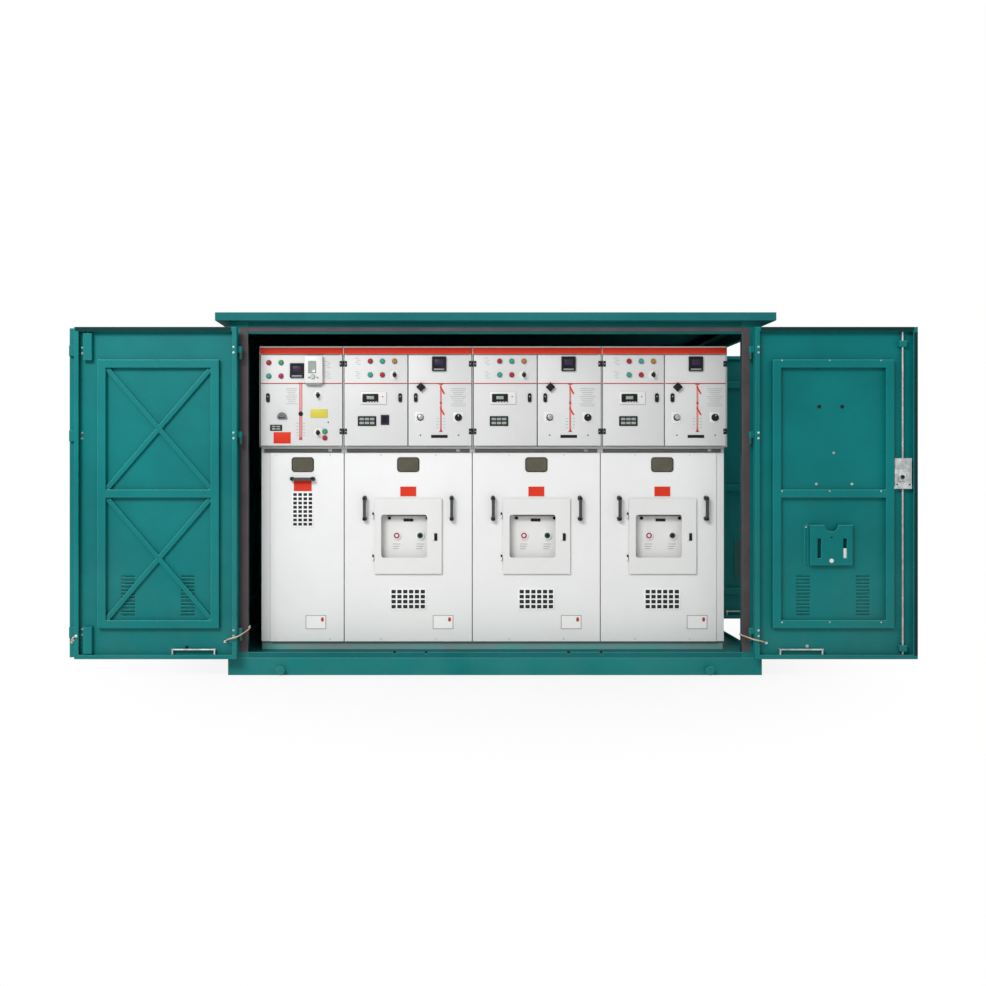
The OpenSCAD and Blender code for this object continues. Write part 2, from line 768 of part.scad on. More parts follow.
module door_1() { color(grey) first_door(); }
module door_2a() { color(grey) left_door_panel(1); }
module door_2b() { color(grey) right_door_panel(1); }
module door_3a() { color(grey) left_door_panel(2); }
module door_3b() { color(grey) right_door_panel(2); }
module door_4a() { color(grey) left_door_panel(3); }
module door_4b() { color(grey) right_door_panel(3); }

// ---------- earthing braids ----------

module braid(points) {
    color([0.62, 0.48, 0.32]) for (i = [0:len(points) - 2]) link(points[i], points[i + 1], braid_d / 2);
}

// Crimped lug lying against the sheet behind it.
module lug(at, toward) {
    color([0.62, 0.48, 0.32]) translate(at)
        rotate(toward == "back" ? [-90, 0, 0] : toward == "left" ? [0, -90, 0] : [0, 90, 0])
            cylinder(d = 2.2 * braid_d, h = braid_d / 2);
}

braid_z = leaf_z + 92;
skin_y = inner_y + leaf_t - sheet - braid_d / 2;
jamb_x = open_x - braid_d / 2;
left_route = [[-axis_x - 84, skin_y, braid_z], [-axis_x - 60, inner_y - 12, braid_z + 20],
    [-axis_x - 4, inner_y - 18, braid_z + 38], [-axis_x + 36, axis_y, braid_z + 60],
    [-jamb_x + 8, -face_y - 8, braid_z + 70], [-jamb_x, -face_y + 15, braid_z + 72]];
right_route = [[axis_x + 84, skin_y, braid_z - 8], [axis_x + 44, inner_y - 12, braid_z + 10],
    [axis_x - 4, inner_y - 18, braid_z + 22], [axis_x - 36, axis_y, braid_z + 30],
    [jamb_x - 8, -face_y - 8, braid_z + 28], [jamb_x, -face_y + 15, braid_z + 26]];
free_x = -axis_x - hinge_gap - leaf_w;
fold_route = [[free_x + 12, inner_y - braid_d / 2, braid_z + 37], [free_x - 2, inner_y - 9, braid_z + 28],
    [free_x - 16, inner_y + 6, braid_z + 10], [free_x - 30, inner_y + leaf_t + 6 - braid_d / 2, braid_z - 6]];

module braid_left() {
    braid(left_route);
    lug(left_route[0], "back");
    lug(left_route[5], "left");
}

module braid_right() {
    braid(right_route);
    lug(right_route[0], "back");
    lug(right_route[5], "right");
}

module braid_fold() {
    braid(fold_route);
    lug(fold_route[0], "back");
    lug(fold_route[3], "back");
}

base_frame();
lifting_pins();
floor_tray();
corner_posts();
top_frame();
roof();
door_seals();
rear_leaves();
left_side_leaf();
fixed_hinges();
housing_1();
housing_2();
housing_3();
housing_4();
plinths();
cover_1();
cover_2();
cover_3();
cover_4();
cover_glass();
cover_handles();
test_panels();
hatch_2();
hatch_3();
hatch_4();
door_1();
door_2a();
door_2b();
door_3a();
door_3b();
door_4a();
door_4b();
left_leaf();
left_stiffeners();
left_fittings();
folded_leaf();
right_leaf();
right_stiffeners();
document_pocket();
right_lock();
side_leaf();
side_stiffeners();
side_pull();
braid_left();
braid_right();
braid_fold();
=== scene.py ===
import math

import bmesh
import bpy
from mathutils import Matrix, Vector


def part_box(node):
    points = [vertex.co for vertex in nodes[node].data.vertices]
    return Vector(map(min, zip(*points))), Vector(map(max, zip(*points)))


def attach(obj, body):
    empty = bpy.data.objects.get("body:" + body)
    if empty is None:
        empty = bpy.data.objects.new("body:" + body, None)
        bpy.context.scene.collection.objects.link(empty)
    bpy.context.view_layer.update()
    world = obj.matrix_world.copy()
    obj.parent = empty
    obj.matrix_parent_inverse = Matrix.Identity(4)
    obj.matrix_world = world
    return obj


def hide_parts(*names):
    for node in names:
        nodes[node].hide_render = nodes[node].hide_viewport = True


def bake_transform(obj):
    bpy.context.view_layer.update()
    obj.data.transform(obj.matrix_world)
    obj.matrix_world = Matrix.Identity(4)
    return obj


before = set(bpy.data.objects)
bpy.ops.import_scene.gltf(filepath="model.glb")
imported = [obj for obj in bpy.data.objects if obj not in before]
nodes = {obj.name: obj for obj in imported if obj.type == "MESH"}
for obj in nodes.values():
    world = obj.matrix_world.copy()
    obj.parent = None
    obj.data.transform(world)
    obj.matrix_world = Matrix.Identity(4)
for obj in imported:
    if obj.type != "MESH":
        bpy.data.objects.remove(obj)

scene = bpy.context.scene
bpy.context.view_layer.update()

# ---- camera -------------------------------------------------------------------------------
# A level lens at chest height, a little left of the middle of the kiosk and 5.3 m in front
# of its face, shifted so that the whole kiosk with its open doors fits the square frame.
scene.view_settings.view_transform = "Standard"
bpy.ops.object.select_all(action="DESELECT")
bpy.ops.object.camera_add(location=(-0.338, -6.0, 1.179), rotation=(math.radians(90), 0, 0))
camera = bpy.context.object
camera.name = "camera"
camera.data.lens = 34.32
camera.data.sensor_width = 36
camera.data.shift_x = 0.0588
camera.data.shift_y = -0.0274
scene.camera = camera


# ---- earthing braids ----------------------------------------------------------------------
# Flexible copper braids, 8 mm across. Two bond the front leaves to the frame and one bonds the
# folded leaf to its neighbour. Each is crimped into a tinned, bolted lug at both ends.
def new_finish(name, colour, rough, metal=0.0, specular=0.5):
    """A material with plain values on its shader, and what is needed to add to it."""
    material = bpy.data.materials.new(name)
    material.use_nodes = True
    tree = material.node_tree
    shader = tree.nodes["Principled BSDF"]
    shader.inputs["Base Color"].default_value = (*colour, 1)
    shader.inputs["Roughness"].default_value = rough
    shader.inputs["Metallic"].default_value = metal
    shader.inputs["Specular IOR Level"].default_value = specular
    return material, tree, shader


def put(tree, kind, settings=None, **values):
    """Adds a shader node, with its settings and its input values by name."""
    made = tree.nodes.new("ShaderNode" + kind)
    for key, value in (settings or {}).items():
        setattr(made, key, value)
    for key, value in values.items():
        made.inputs[key.replace("_", " ")].default_value = value
    return made


def wire(tree, source, leaving, target, entering):
    """Links an output of one shader node to an input of another."""
    tree.links.new(source.outputs[leaving], target.inputs[entering])


def blend_colours(tree, mask, first, second):
    """A Mix node between two colours; each is a colour or a socket."""
    mix = tree.nodes.new("ShaderNodeMix")
    mix.data_type = "RGBA"
    tree.links.new(mask, mix.inputs["Factor"])
    for slot, colour in ((6, first), (7, second)):
        if isinstance(colour, tuple):
            mix.inputs[slot].default_value = (*colour, 1)
        else:
            tree.links.new(colour, mix.inputs[slot])
    return mix.outputs[2]


def braid_finish():
    material, tree, shader = new_finish("copper_braid", (0.60, 0.44, 0.30), 0.45, 0.35)
    uv = put(tree, "UVMap", {"uv_map": "along"})
    strands = []
    for lean in (1, -1):
        turn = put(tree, "Mapping")
        turn.inputs["Scale"].default_value = (6, lean * 6, 1)
        wave = put(tree, "TexWave", {"bands_direction": "DIAGONAL"}, Scale=0.9, Distortion=0.6)
        wire(tree, uv, 0, turn, "Vector")
        wire(tree, turn, 0, wave, "Vector")
        strands.append(wave.outputs["Fac"])
    plait = put(tree, "Math", {"operation": "MAXIMUM"})
    tree.links.new(strands[0], plait.inputs[0])
    tree.links.new(strands[1], plait.inputs[1])
    colour = blend_colours(tree, plait.outputs[0], (0.26, 0.13, 0.07), (0.74, 0.58, 0.42))
    tree.links.new(colour, shader.inputs["Base Color"])
    bump = put(tree, "Bump", Strength=0.6, Distance=0.001)
    wire(tree, plait, 0, bump, "Height")
    wire(tree, bump, 0, shader, "Normal")
    return material


def smooth_line(points, steps):
    """Points along a smooth curve through the given ones, that many steps to each stretch."""
    ends = [points[0] * 2 - points[1], *points, points[-1] * 2 - points[-2]]
    line = []
    for a, b, c, d in zip(ends, ends[1:], ends[2:], ends[3:]):
        for i in range(steps):
            t = i / steps
            line.append(0.5 * (2 * b + (c - a) * t + (2 * a - 5 * b + 4 * c - d) * t * t
                               + (3 * b - 3 * c + d - a) * t * t * t))
    return [*line, points[-1]]


def tube_along(name, line, radius, sides=14):
    """A closed tube round a line, with a map that runs along it."""
    mesh = bmesh.new()
    layer = mesh.loops.layers.uv.new("along")
    side = Vector((0, 0, 1)).cross(line[1] - line[0]).normalized()
    rings, run = [], [0.0]
    for i, point in enumerate(line):
        ahead = (line[min(i + 1, len(line) - 1)] - line[max(i - 1, 0)]).normalized()
        side = (side - ahead * side.dot(ahead)).normalized()
        up = ahead.cross(side)
        turns = [2 * math.pi * k / sides for k in range(sides)]
        round_point = [point + radius * (side * math.cos(t) + up * math.sin(t)) for t in turns]
        rings.append([mesh.verts.new(corner) for corner in round_point])
        run.append(run[-1] + (line[min(i + 1, len(line) - 1)] - point).length)
    for i, (low, high) in enumerate(zip(rings, rings[1:])):
        for k in range(sides):
            face = mesh.faces.new((low[k], low[(k + 1) % sides], high[(k + 1) % sides], high[k]))
            face.smooth = True
            corners = ((run[i], k), (run[i], k + 1), (run[i + 1], k + 1), (run[i + 1], k))
            for loop, (distance, step) in zip(face.loops, corners):
                loop[layer].uv = (distance / 0.02, step / sides)
    mesh.faces.new(rings[0][::-1])
    mesh.faces.new(rings[-1])
    bmesh.ops.recalc_face_normals(mesh, faces=mesh.faces)
    data = bpy.data.meshes.new(name)
    mesh.to_mesh(data)
    piece = bpy.data.objects.new(name, data)
    scene.collection.objects.link(piece)
    return piece


braid_look = braid_finish()
braid_across = 0.008
braid_routes = {
    "braid_left": [(-1.388, -0.685, 0.272), (-1.380, -0.708, 0.270), (-1.388, -0.750, 0.260),
                   (-1.428, -0.809, 0.238), (-1.484, -0.803, 0.220), (-1.508, -0.7575, 0.200)],
    "braid_right": [(1.388, -0.685, 0.226), (1.380, -0.708, 0.228), (1.388, -0.750, 0.230),
                    (1.420, -0.809, 0.222), (1.468, -0.803, 0.210), (1.508, -0.7575, 0.192)],
    "braid_fold": [(-2.326, -0.795, 0.237), (-2.340, -0.800, 0.228), (-2.354, -0.785, 0.210),
                   (-2.368, -0.743, 0.194)],
}
braid_ends = {"braid_left": "left_door", "braid_right": "right_door", "braid_fold": "left_door"}
tinned, _, _ = new_finish("tinned_lug", (0.74, 0.75, 0.74), 0.35, 0.4)


def merge(parts):
    """Joins parts to one mesh, on the first of them."""
    bpy.ops.object.select_all(action="DESELECT")
    for part in parts:
        part.select_set(True)
    bpy.context.view_layer.objects.active = parts[0]
    if len(parts) > 1:
        bpy.ops.object.join()
    return bpy.context.object


def crimped_lug(name, end, back, face):
    """A ring lug with its barrel and bolt: back points down the braid, face out of the sheet."""
    turn = face.to_track_quat("Z", "Y").to_matrix().to_4x4()
    across = turn.inverted() @ back
    angle = math.atan2(across.y, across.x)
    parts = []
    for radius, depth, sides, lift in ((0.0078, 0.0016, 24, 0.0008), (0.0048, 0.0036, 6, 0.0030)):
        bpy.ops.mesh.primitive_cylinder_add(vertices=sides, radius=radius, depth=depth,
                                            location=(0, 0, lift))
        parts.append(bpy.context.object)
    bpy.ops.mesh.primitive_cylinder_add(vertices=16, radius=0.0046, depth=0.014, location=(0.013, 0, 0.002),
                                        rotation=(0, math.pi / 2, 0))
    parts.append(bpy.context.object)
    lug = merge(parts)
    bpy.ops.object.transform_apply(location=True, rotation=True, scale=True)
    bpy.ops.object.mode_set(mode="EDIT")
    bpy.ops.mesh.select_all(action="SELECT")
    bpy.ops.mesh.bevel(offset=0.0004, segments=2, affect="EDGES")
    bpy.ops.object.mode_set(mode="OBJECT")
    lug.name = name
    lug.data.transform(Matrix.Translation(end) @ turn @ Matrix.Rotation(angle, 4, "Z"))
    lug.data.materials.append(tinned)
    return lug


for node, route in braid_routes.items():
    line = smooth_line([Vector(p) for p in route], 6)
    braid = tube_along(node + "_plait", line, braid_across / 2)
    braid.data.materials.append(braid_look)
    door = braid_ends[node]
    first_body, first_face = "kiosk", Vector((1 if line[0].x < 0 else -1, 0, 0))
    if node == "braid_fold":
        first_body, first_face = door, Vector((0, -1, 0))
        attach(braid, door)
    else:
        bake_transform(braid)
    for suffix, end, beyond, face, body in (("_first_lug", line[0], line[1], first_face, first_body),
                                            ("_last_lug", line[-1], line[-2], Vector((0, -1, 0)), door)):
        seat = end + Vector((0, 0.004, 0)) if body == "kiosk" else end
        lug = crimped_lug(node + suffix, seat, (beyond - end).normalized(), face)
        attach(lug, body)
    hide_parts(node)


# ---- green sheet steel --------------------------------------------------------------------
# The whole shell is folded steel sheet with a blue-green powder coat: a fine orange peel,
# softened folds, rubbed lighter edges, and a grey bloom of road dust toward the ground.
# Folded edges that lean up carry a painted highlight, and those that lean down a painted shade.
def mask_group(name, inputs, outputs):
    """An empty shader node group with named number inputs and the given outputs."""
    group = bpy.data.node_groups.new(name, "ShaderNodeTree")
    for label, value in inputs.items():
        socket = group.interface.new_socket(label, in_out="INPUT", socket_type="NodeSocketFloat")
        socket.default_value = value
    for label, kind in outputs.items():
        group.interface.new_socket(label, in_out="OUTPUT", socket_type="NodeSocket" + kind)
    return group, group.nodes.new("NodeGroupInput"), group.nodes.new("NodeGroupOutput")


def worn_edges_group():
    """Where folds and corners are rubbed, broken up by noise."""
    group, given, result = mask_group(
        "worn_edges", {"Width": 0.004, "Breakup": 25.0}, {"Mask": "Float"})
    rounded = put(group, "Bevel", {"samples": 4})
    surface = put(group, "NewGeometry")
    along = put(group, "VectorMath", {"operation": "DOT_PRODUCT"})
    fold = put(group, "MapRange", From_Min=0.995, From_Max=0.86)
    place = put(group, "TexCoord")
    patches = put(group, "TexNoise", Detail=5.0, Roughness=0.65)
    broken = put(group, "MapRange", From_Min=0.42, From_Max=0.60)
    both = put(group, "Math", {"operation": "MULTIPLY"})
    wire(group, given, "Width", rounded, "Radius")
    wire(group, rounded, 0, along, 0)
    wire(group, surface, "Normal", along, 1)
    wire(group, along, "Value", fold, "Value")
    wire(group, place, "Object", patches, "Vector")
    wire(group, given, "Breakup", patches, "Scale")
    wire(group, patches, "Fac", broken, "Value")
    wire(group, fold, 0, both, 0)
    wire(group, broken, 0, both, 1)
    wire(group, both, 0, result, "Mask")
    return group


def coat_group():
    """A sprayed coat: soft changes of tone, a fine peel, and softened edges in the normal."""
    group, given, result = mask_group(
        "sprayed_coat", {"Cloud": 1.6, "Peel": 420.0, "Depth": 0.08, "Fold": 0.0012},
        {"Tone": "Float", "Speck": "Float", "Normal": "Vector"})
    place = put(group, "TexCoord")
    clouds = put(group, "TexNoise", Detail=4.0, Roughness=0.6)
    specks = put(group, "TexNoise", Detail=2.0)
    bump = put(group, "Bump", Distance=0.0006)
    rounded = put(group, "Bevel", {"samples": 4})
    for noise, scale in ((clouds, "Cloud"), (specks, "Peel")):
        wire(group, place, "Object", noise, "Vector")
        wire(group, given, scale, noise, "Scale")
    wire(group, given, "Fold", rounded, "Radius")
    wire(group, given, "Depth", bump, "Strength")
    wire(group, specks, "Fac", bump, "Height")
    wire(group, rounded, 0, bump, "Normal")
    wire(group, clouds, "Fac", result, "Tone")
    wire(group, specks, "Fac", result, "Speck")
    wire(group, bump, 0, result, "Normal")
    return group


def dust_group():
    """Dust that thickens from one height down to another, in drifts."""
    group, given, result = mask_group(
        "ground_dust", {"Clean above": 1.2, "Full below": 0.1, "Drift": 3.0}, {"Mask": "Float"})
    place = put(group, "TexCoord")
    parts = put(group, "SeparateXYZ")
    height = put(group, "MapRange")
    drift = put(group, "TexNoise", Detail=5.0, Roughness=0.6)
    spread = put(group, "MapRange", From_Min=0.3, From_Max=0.7)
    both = put(group, "Math", {"operation": "MULTIPLY"})
    wire(group, place, "Object", parts, 0)
    wire(group, parts, "Z", height, "Value")
    wire(group, given, "Clean above", height, "From Min")
    wire(group, given, "Full below", height, "From Max")
    wire(group, place, "Object", drift, "Vector")
    wire(group, given, "Drift", drift, "Scale")
    wire(group, drift, "Fac", spread, "Value")
    wire(group, height, 0, both, 0)
    wire(group, spread, 0, both, 1)
    wire(group, both, 0, result, "Mask")
    return group


def fold_light_group():
    """Masks for painted light on folded edges: which lean up to the sky (painted highlight) and which lean
    down (painted shade), from how far the rounded normal turns.
    """
    group, given, result = mask_group("fold_light", {"Width": 0.006}, {"Up": "Float", "Down": "Float"})
    rounded = put(group, "Bevel", {"samples": 4})
    surface = put(group, "NewGeometry")
    lean = put(group, "VectorMath", {"operation": "SUBTRACT"})
    toward = put(group, "VectorMath", {"operation": "DOT_PRODUCT"})
    toward.inputs[1].default_value = (-0.35, 0.0, 0.94)
    up = put(group, "MapRange", From_Min=0.06, From_Max=0.36)
    down = put(group, "MapRange", From_Min=-0.06, From_Max=-0.36)
    wire(group, given, "Width", rounded, "Radius")
    wire(group, rounded, 0, lean, 0)
    wire(group, surface, "Normal", lean, 1)
    wire(group, lean, 0, toward, 0)
    wire(group, toward, "Value", up, "Value")
    wire(group, toward, "Value", down, "Value")
    wire(group, up, 0, result, "Up")
    wire(group, down, 0, result, "Down")
    return group


worn_edges, sprayed_coat, ground_dust = worn_edges_group(), coat_group(), dust_group()
fold_light = fold_light_group()


def use_group(tree, group, **values):
    """Places a shared effect in a material with its own values."""
    made = tree.nodes.new("ShaderNodeGroup")
    made.node_tree = group
    for key, value in values.items():
        made.inputs[key.replace("_", " ")].default_value = value
    return made


def scaled(tree, mask, amount):
    """A mask turned down to an amount."""
    made = put(tree, "Math", {"operation": "MULTIPLY"})
    made.inputs[1].default_value = amount
    tree.links.new(mask, made.inputs[0])
    return made.outputs[0]


def coat_finish(name, dark, light, bloom, rubbed, rough=0.42, specular=0.25, peel=0.08, dust=0.5,
                edge_width=0.004, edge_wear_and_sheen=0.7, patches=25.0, fold=0.0012,
                painted_fold_light=0.0, dust_and_bounce_heights=(1.2, 0.1)):
    """Sprayed paint on steel: two tones, the dust on it, its rubbed edges, and a painted highlight on folded
    edges that lean up and painted shade on those that lean down.
    """
    material, tree, shader = new_finish(name, light, rough, specular=specular)
    coat = use_group(tree, sprayed_coat, Depth=peel, Fold=fold)
    tone = put(tree, "MapRange", From_Min=0.35, From_Max=0.65)
    wire(tree, coat, "Tone", tone, "Value")
    colour = blend_colours(tree, tone.outputs[0], dark, light)
    lying = use_group(tree, ground_dust, Clean_above=dust_and_bounce_heights[0], Full_below=dust_and_bounce_heights[1])
    colour = blend_colours(tree, scaled(tree, lying.outputs["Mask"], dust), colour, bloom)
    edges = use_group(tree, worn_edges, Width=edge_width, Breakup=patches)
    colour = blend_colours(tree, scaled(tree, edges.outputs["Mask"], edge_wear_and_sheen), colour, rubbed)
    if painted_fold_light:
        fold_light_masks = use_group(tree, fold_light)
        # Painted highlight on folded edges that lean up, painted shade on those that lean down.
        for way, painted_light_tint in (("Up", (0.10, 0.43, 0.41)), ("Down", (0.001, 0.055, 0.060))):
            colour = blend_colours(tree, scaled(tree, fold_light_masks.outputs[way], painted_fold_light), colour, painted_light_tint)
    tree.links.new(colour, shader.inputs["Base Color"])
    wire(tree, coat, "Normal", shader, "Normal")
    uneven = put(tree, "MapRange", To_Min=rough - 0.06, To_Max=rough + 0.1)
    wire(tree, coat, "Speck", uneven, "Value")
    wire(tree, uneven, 0, shader, "Roughness")
    return material


def dress(finish, *names):
    """Gives CAD nodes a finish."""
    for name in names:
        nodes[name].data.materials.clear()
        nodes[name].data.materials.append(finish)


# The greens with fold light set carry a painted highlight on folded edges that lean up and painted shade on
# those that lean down.
green = coat_finish("green_paint", (0.001, 0.140, 0.142), (0.002, 0.178, 0.178),
                    (0.040, 0.180, 0.172), (0.050, 0.330, 0.320), specular=0.12, fold=0.003, painted_fold_light=0.35)
green_base = coat_finish("green_base", (0.001, 0.150, 0.150), (0.002, 0.190, 0.188),
                         (0.055, 0.180, 0.170), (0.060, 0.330, 0.320), specular=0.15, dust=0.35,
                         fold=0.004, painted_fold_light=0.7)
# The ribs' long, unbroken light edge lines are partly rubbed paint and partly a painted highlight.
green_ribs = coat_finish("green_ribs", (0.001, 0.145, 0.147), (0.002, 0.182, 0.182), (0.030, 0.180, 0.172),
                         (0.060, 0.330, 0.320), specular=0.12,
                         edge_wear_and_sheen=0.2, patches=2.0, fold=0.003, painted_fold_light=0.9)
# The top frame inside takes a darker copy of the green: painted shade.
green_inside_painted_shade = coat_finish("green_inside_painted_shade", (0.001, 0.090, 0.092), (0.002, 0.115, 0.116),
                           (0.020, 0.100, 0.095), (0.010, 0.150, 0.145), specular=0.1)
# The floor tray takes a darker copy of the green: painted shade.
green_tray_painted_shade = coat_finish("green_tray_painted_shade", (0.001, 0.098, 0.104), (0.002, 0.126, 0.132), (0.020, 0.130, 0.125),
                         (0.030, 0.260, 0.250), specular=0.12, fold=0.003, painted_fold_light=0.6)
dress(green_base, "base_frame", "lifting_pins")
dress(green_tray_painted_shade, "floor_tray")
green_roof = coat_finish("green_roof", (0.010, 0.120, 0.124), (0.016, 0.152, 0.154), (0.050, 0.170, 0.165),
                         (0.060, 0.300, 0.290), rough=0.62, specular=0.05, fold=0.003, painted_fold_light=0.35)
dress(green_roof, "roof")
dress(green, "corner_posts", "rear_leaves", "left_side_leaf", "left_leaf",
      "folded_leaf", "right_leaf", "side_leaf")
dress(green_ribs, "left_stiffeners", "right_stiffeners", "side_stiffeners", "document_pocket")
dress(green_inside_painted_shade, "top_frame")


# ---- base channel and lifting discs -------------------------------------------------------
# A welded channel base stands on the ground. Four short lifting pins with flat discs reach out
# of it, the front two with a turned ring and a centre mark. Black discs at the sill stand for
# the shade inside the drain holes: painted shade.
def moulded(name, colour, rough=0.4, spread=0.82, grain=0.15, metal=0.0, specular=0.4):
    """A moulded or printed surface: two near tones in clouds and a fine grain."""
    material, tree, shader = new_finish(name, colour, rough, metal, specular)
    coat = use_group(tree, sprayed_coat, Cloud=14.0, Peel=700.0, Depth=grain, Fold=0.0006)
    shade = tuple(c * spread for c in colour)
    tree.links.new(blend_colours(tree, coat.outputs["Tone"], shade, colour), shader.inputs["Base Color"])
    wire(tree, coat, "Normal", shader, "Normal")
    return material


def zinc_finish(name, dark, light, rough, metal):
    """Zinc on steel: pale crystals and darker blotches."""
    material, tree, shader = new_finish(name, light, rough, metal)
    place = put(tree, "TexCoord")
    crystals = put(tree, "TexVoronoi", Scale=110.0)
    blotches = put(tree, "TexNoise", Scale=24.0, Detail=5.0, Roughness=0.7)
    for pattern in (crystals, blotches):
        wire(tree, place, "Object", pattern, "Vector")
    broken = put(tree, "MapRange", From_Min=0.40, From_Max=0.62)
    wire(tree, blotches, "Fac", broken, "Value")
    colour = blend_colours(tree, crystals.outputs["Distance"], light, tuple(c * 0.75 for c in light))
    colour = blend_colours(tree, broken.outputs[0], dark, colour)
    tree.links.new(colour, shader.inputs["Base Color"])
    return material


def block(lo, hi, edge=0.0, segments=2):
    """A block between two corners, its edges rounded where an edge is given."""
    bpy.ops.object.select_all(action="DESELECT")
    middle = [(a + b) / 2 for a, b in zip(lo, hi)]
    size = [b - a for a, b in zip(lo, hi)]
    bpy.ops.mesh.primitive_cube_add(size=1, location=middle, scale=size)
    made = bpy.context.object
    bpy.ops.object.transform_apply(location=True, rotation=True, scale=True)
    if edge:
        bpy.ops.object.mode_set(mode="EDIT")
        bpy.ops.mesh.bevel(offset=edge, segments=segments, affect="EDGES")
        bpy.ops.object.mode_set(mode="OBJECT")
        bpy.ops.object.shade_smooth_by_angle(angle=0.6)
    return made


def pick(made, kind, test):
    """In edit mode, selects the faces or edges of a piece that pass a test."""
    bpy.ops.mesh.select_mode(type=kind)
    bpy.ops.mesh.select_all(action="DESELECT")
    mesh = bmesh.from_edit_mesh(made.data)
    for part in mesh.faces if kind == "FACE" else mesh.edges:
        part.select_set(test(part))
    bmesh.update_edit_mesh(made.data)


def pick_front(made):
    """In edit mode, selects the faces that look out to the front and lie furthest out."""
    front = min(face.calc_center_median().y for face in bmesh.from_edit_mesh(made.data).faces)
    pick(made, "FACE", lambda face: face.normal.y < -0.99 and face.calc_center_median().y < front + 1e-5)


def turned(centre, radius, out, steps=(), sides=24):
    """A round piece standing out to the front; each step scales its face, then pulls it on."""
    bpy.ops.object.select_all(action="DESELECT")
    x, y, z = centre
    bpy.ops.mesh.primitive_cylinder_add(vertices=sides, radius=radius, depth=out,
                                        location=(x, y - out / 2, z), rotation=(math.pi / 2, 0, 0))
    made = bpy.context.object
    bpy.ops.object.transform_apply(location=True, rotation=True, scale=True)
    bpy.ops.object.mode_set(mode="EDIT")
    pick_front(made)
    for scale, pull in steps:
        bpy.ops.mesh.extrude_region_move()
        bpy.ops.transform.resize(value=(scale, 1, scale), center_override=(x, y, z))
        bpy.ops.transform.translate(value=(0, -pull, 0))
    bpy.ops.object.mode_set(mode="OBJECT")
    bpy.ops.object.shade_smooth_by_angle(angle=0.6)
    return made


def finished(piece, finish):
    """Gives a new piece its finish."""
    piece.data.materials.append(finish)
    return piece


def again(piece, move, *finishes):
    """A copy of a piece with its own mesh, moved, and with other finishes where given."""
    copy = bpy.data.objects.new(piece.name, piece.data.copy())
    copy.data.transform(Matrix.Translation(move))
    for index, finish in enumerate(finishes):
        copy.data.materials[index] = finish
    scene.collection.objects.link(copy)
    return copy


def slab(lo, hi, finish, edge=0.0, segments=2):
    """A rounded block with its finish."""
    return finished(block(lo, hi, edge, segments), finish)


def disc(centre, radius, out, steps, finish, sides=24):
    """A turned piece with its finish."""
    return finished(turned(centre, radius, out, steps, sides), finish)


def join(name, parts, body="kiosk"):
    """Joins parts to one named piece, riding on a body."""
    joined = merge(parts)
    joined.name = name
    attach(joined, body)
    return joined


def repaint(name, finish, test):
    """Another finish on the faces of a CAD node whose middle passes a test."""
    data = nodes[name].data
    data.materials.append(finish)
    index = len(data.materials) - 1
    for polygon in data.polygons:
        if test(polygon.center):
            polygon.material_index = index


black = moulded("black_plastic", (0.006, 0.006, 0.007), 0.5, specular=0.2)
zinc = zinc_finish("galvanised", (0.34, 0.36, 0.36), (0.72, 0.74, 0.74), 0.42, 0.35)
discs_lo, discs_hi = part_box("lifting_pins")
disc_r = 0.5 * (discs_hi.z - discs_lo.z)
disc_z = 0.5 * (discs_hi.z + discs_lo.z)
rings = []
for x in (discs_lo.x + disc_r, discs_hi.x - disc_r):
    front = (x, discs_lo.y + 0.001, disc_z)
    rings.append(disc(front, disc_r, 0.0005, [(0.86, 0), (0.94, -0.0004)], green_base, 40))
    rings.append(disc(front, 0.005, 0.0009, [(0.6, 0), (0.8, -0.0004)], black))
join("lifting_disc_rings", rings)

tray_lo, tray_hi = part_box("floor_tray")
drain_r = 0.0085
drain_y, drain_z = tray_lo.y + 0.006, tray_hi.z - 0.003
drain_shade_discs = [disc((x, drain_y, drain_z), drain_r, 0.002, [(0.8, 0.0003)], black)
           for x in (-0.566, -0.388, 0.415, 0.599)]
join("drain_hole_painted_shade", drain_shade_discs)


# ---- door seals ---------------------------------------------------------------------------
# Extruded grey-brown rubber, dull and a little dusty, glued down both sides of each doorway,
# 35 mm wide, and across its top. At the front a thin foot runs in to the edge of the opening.
def rubber_finish():
    material, tree, shader = new_finish("seal_rubber", (0.080, 0.062, 0.068), 0.75, specular=0.3)
    place = put(tree, "TexCoord")
    bloom = put(tree, "TexNoise", Scale=9.0, Detail=5.0)
    grain = put(tree, "TexNoise", Scale=300.0, Detail=2.0)
    for noise in (bloom, grain):
        wire(tree, place, "Object", noise, "Vector")
    colour = blend_colours(tree, bloom.outputs["Fac"], (0.048, 0.038, 0.043), (0.105, 0.082, 0.090))
    tree.links.new(colour, shader.inputs["Base Color"])
    bump = put(tree, "Bump", Strength=0.25, Distance=0.0008)
    wire(tree, grain, "Fac", bump, "Height")
    wire(tree, bump, 0, shader, "Normal")
    return material


seal = rubber_finish()
dress(seal, "door_seals")
# The inner faces of the posts at the doorway take a near-black green: painted shade.
jamb_painted_shade = coat_finish("jamb_painted_shade", (0.001, 0.020, 0.020), (0.001, 0.032, 0.032), (0.004, 0.030, 0.030),
                        (0.002, 0.060, 0.060), specular=0.1)
opening_x = 1.392
frame_y = -0.700
repaint("corner_posts", jamb_painted_shade, lambda at: abs(at.x) < opening_x + 0.002)
seal_lo, seal_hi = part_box("door_seals")
foot_w = 0.018
feet = []
for side in (-1, 1):
    inner, outer = sorted((side * (opening_x + 0.0005), side * (opening_x + 0.0005 + foot_w)))
    feet.append(slab((inner, frame_y - 0.0014, seal_lo.z + 0.002),
                     (outer, frame_y - 0.0002, seal_hi.z - 0.002), seal, 0.0004))
join("seal_feet", feet)


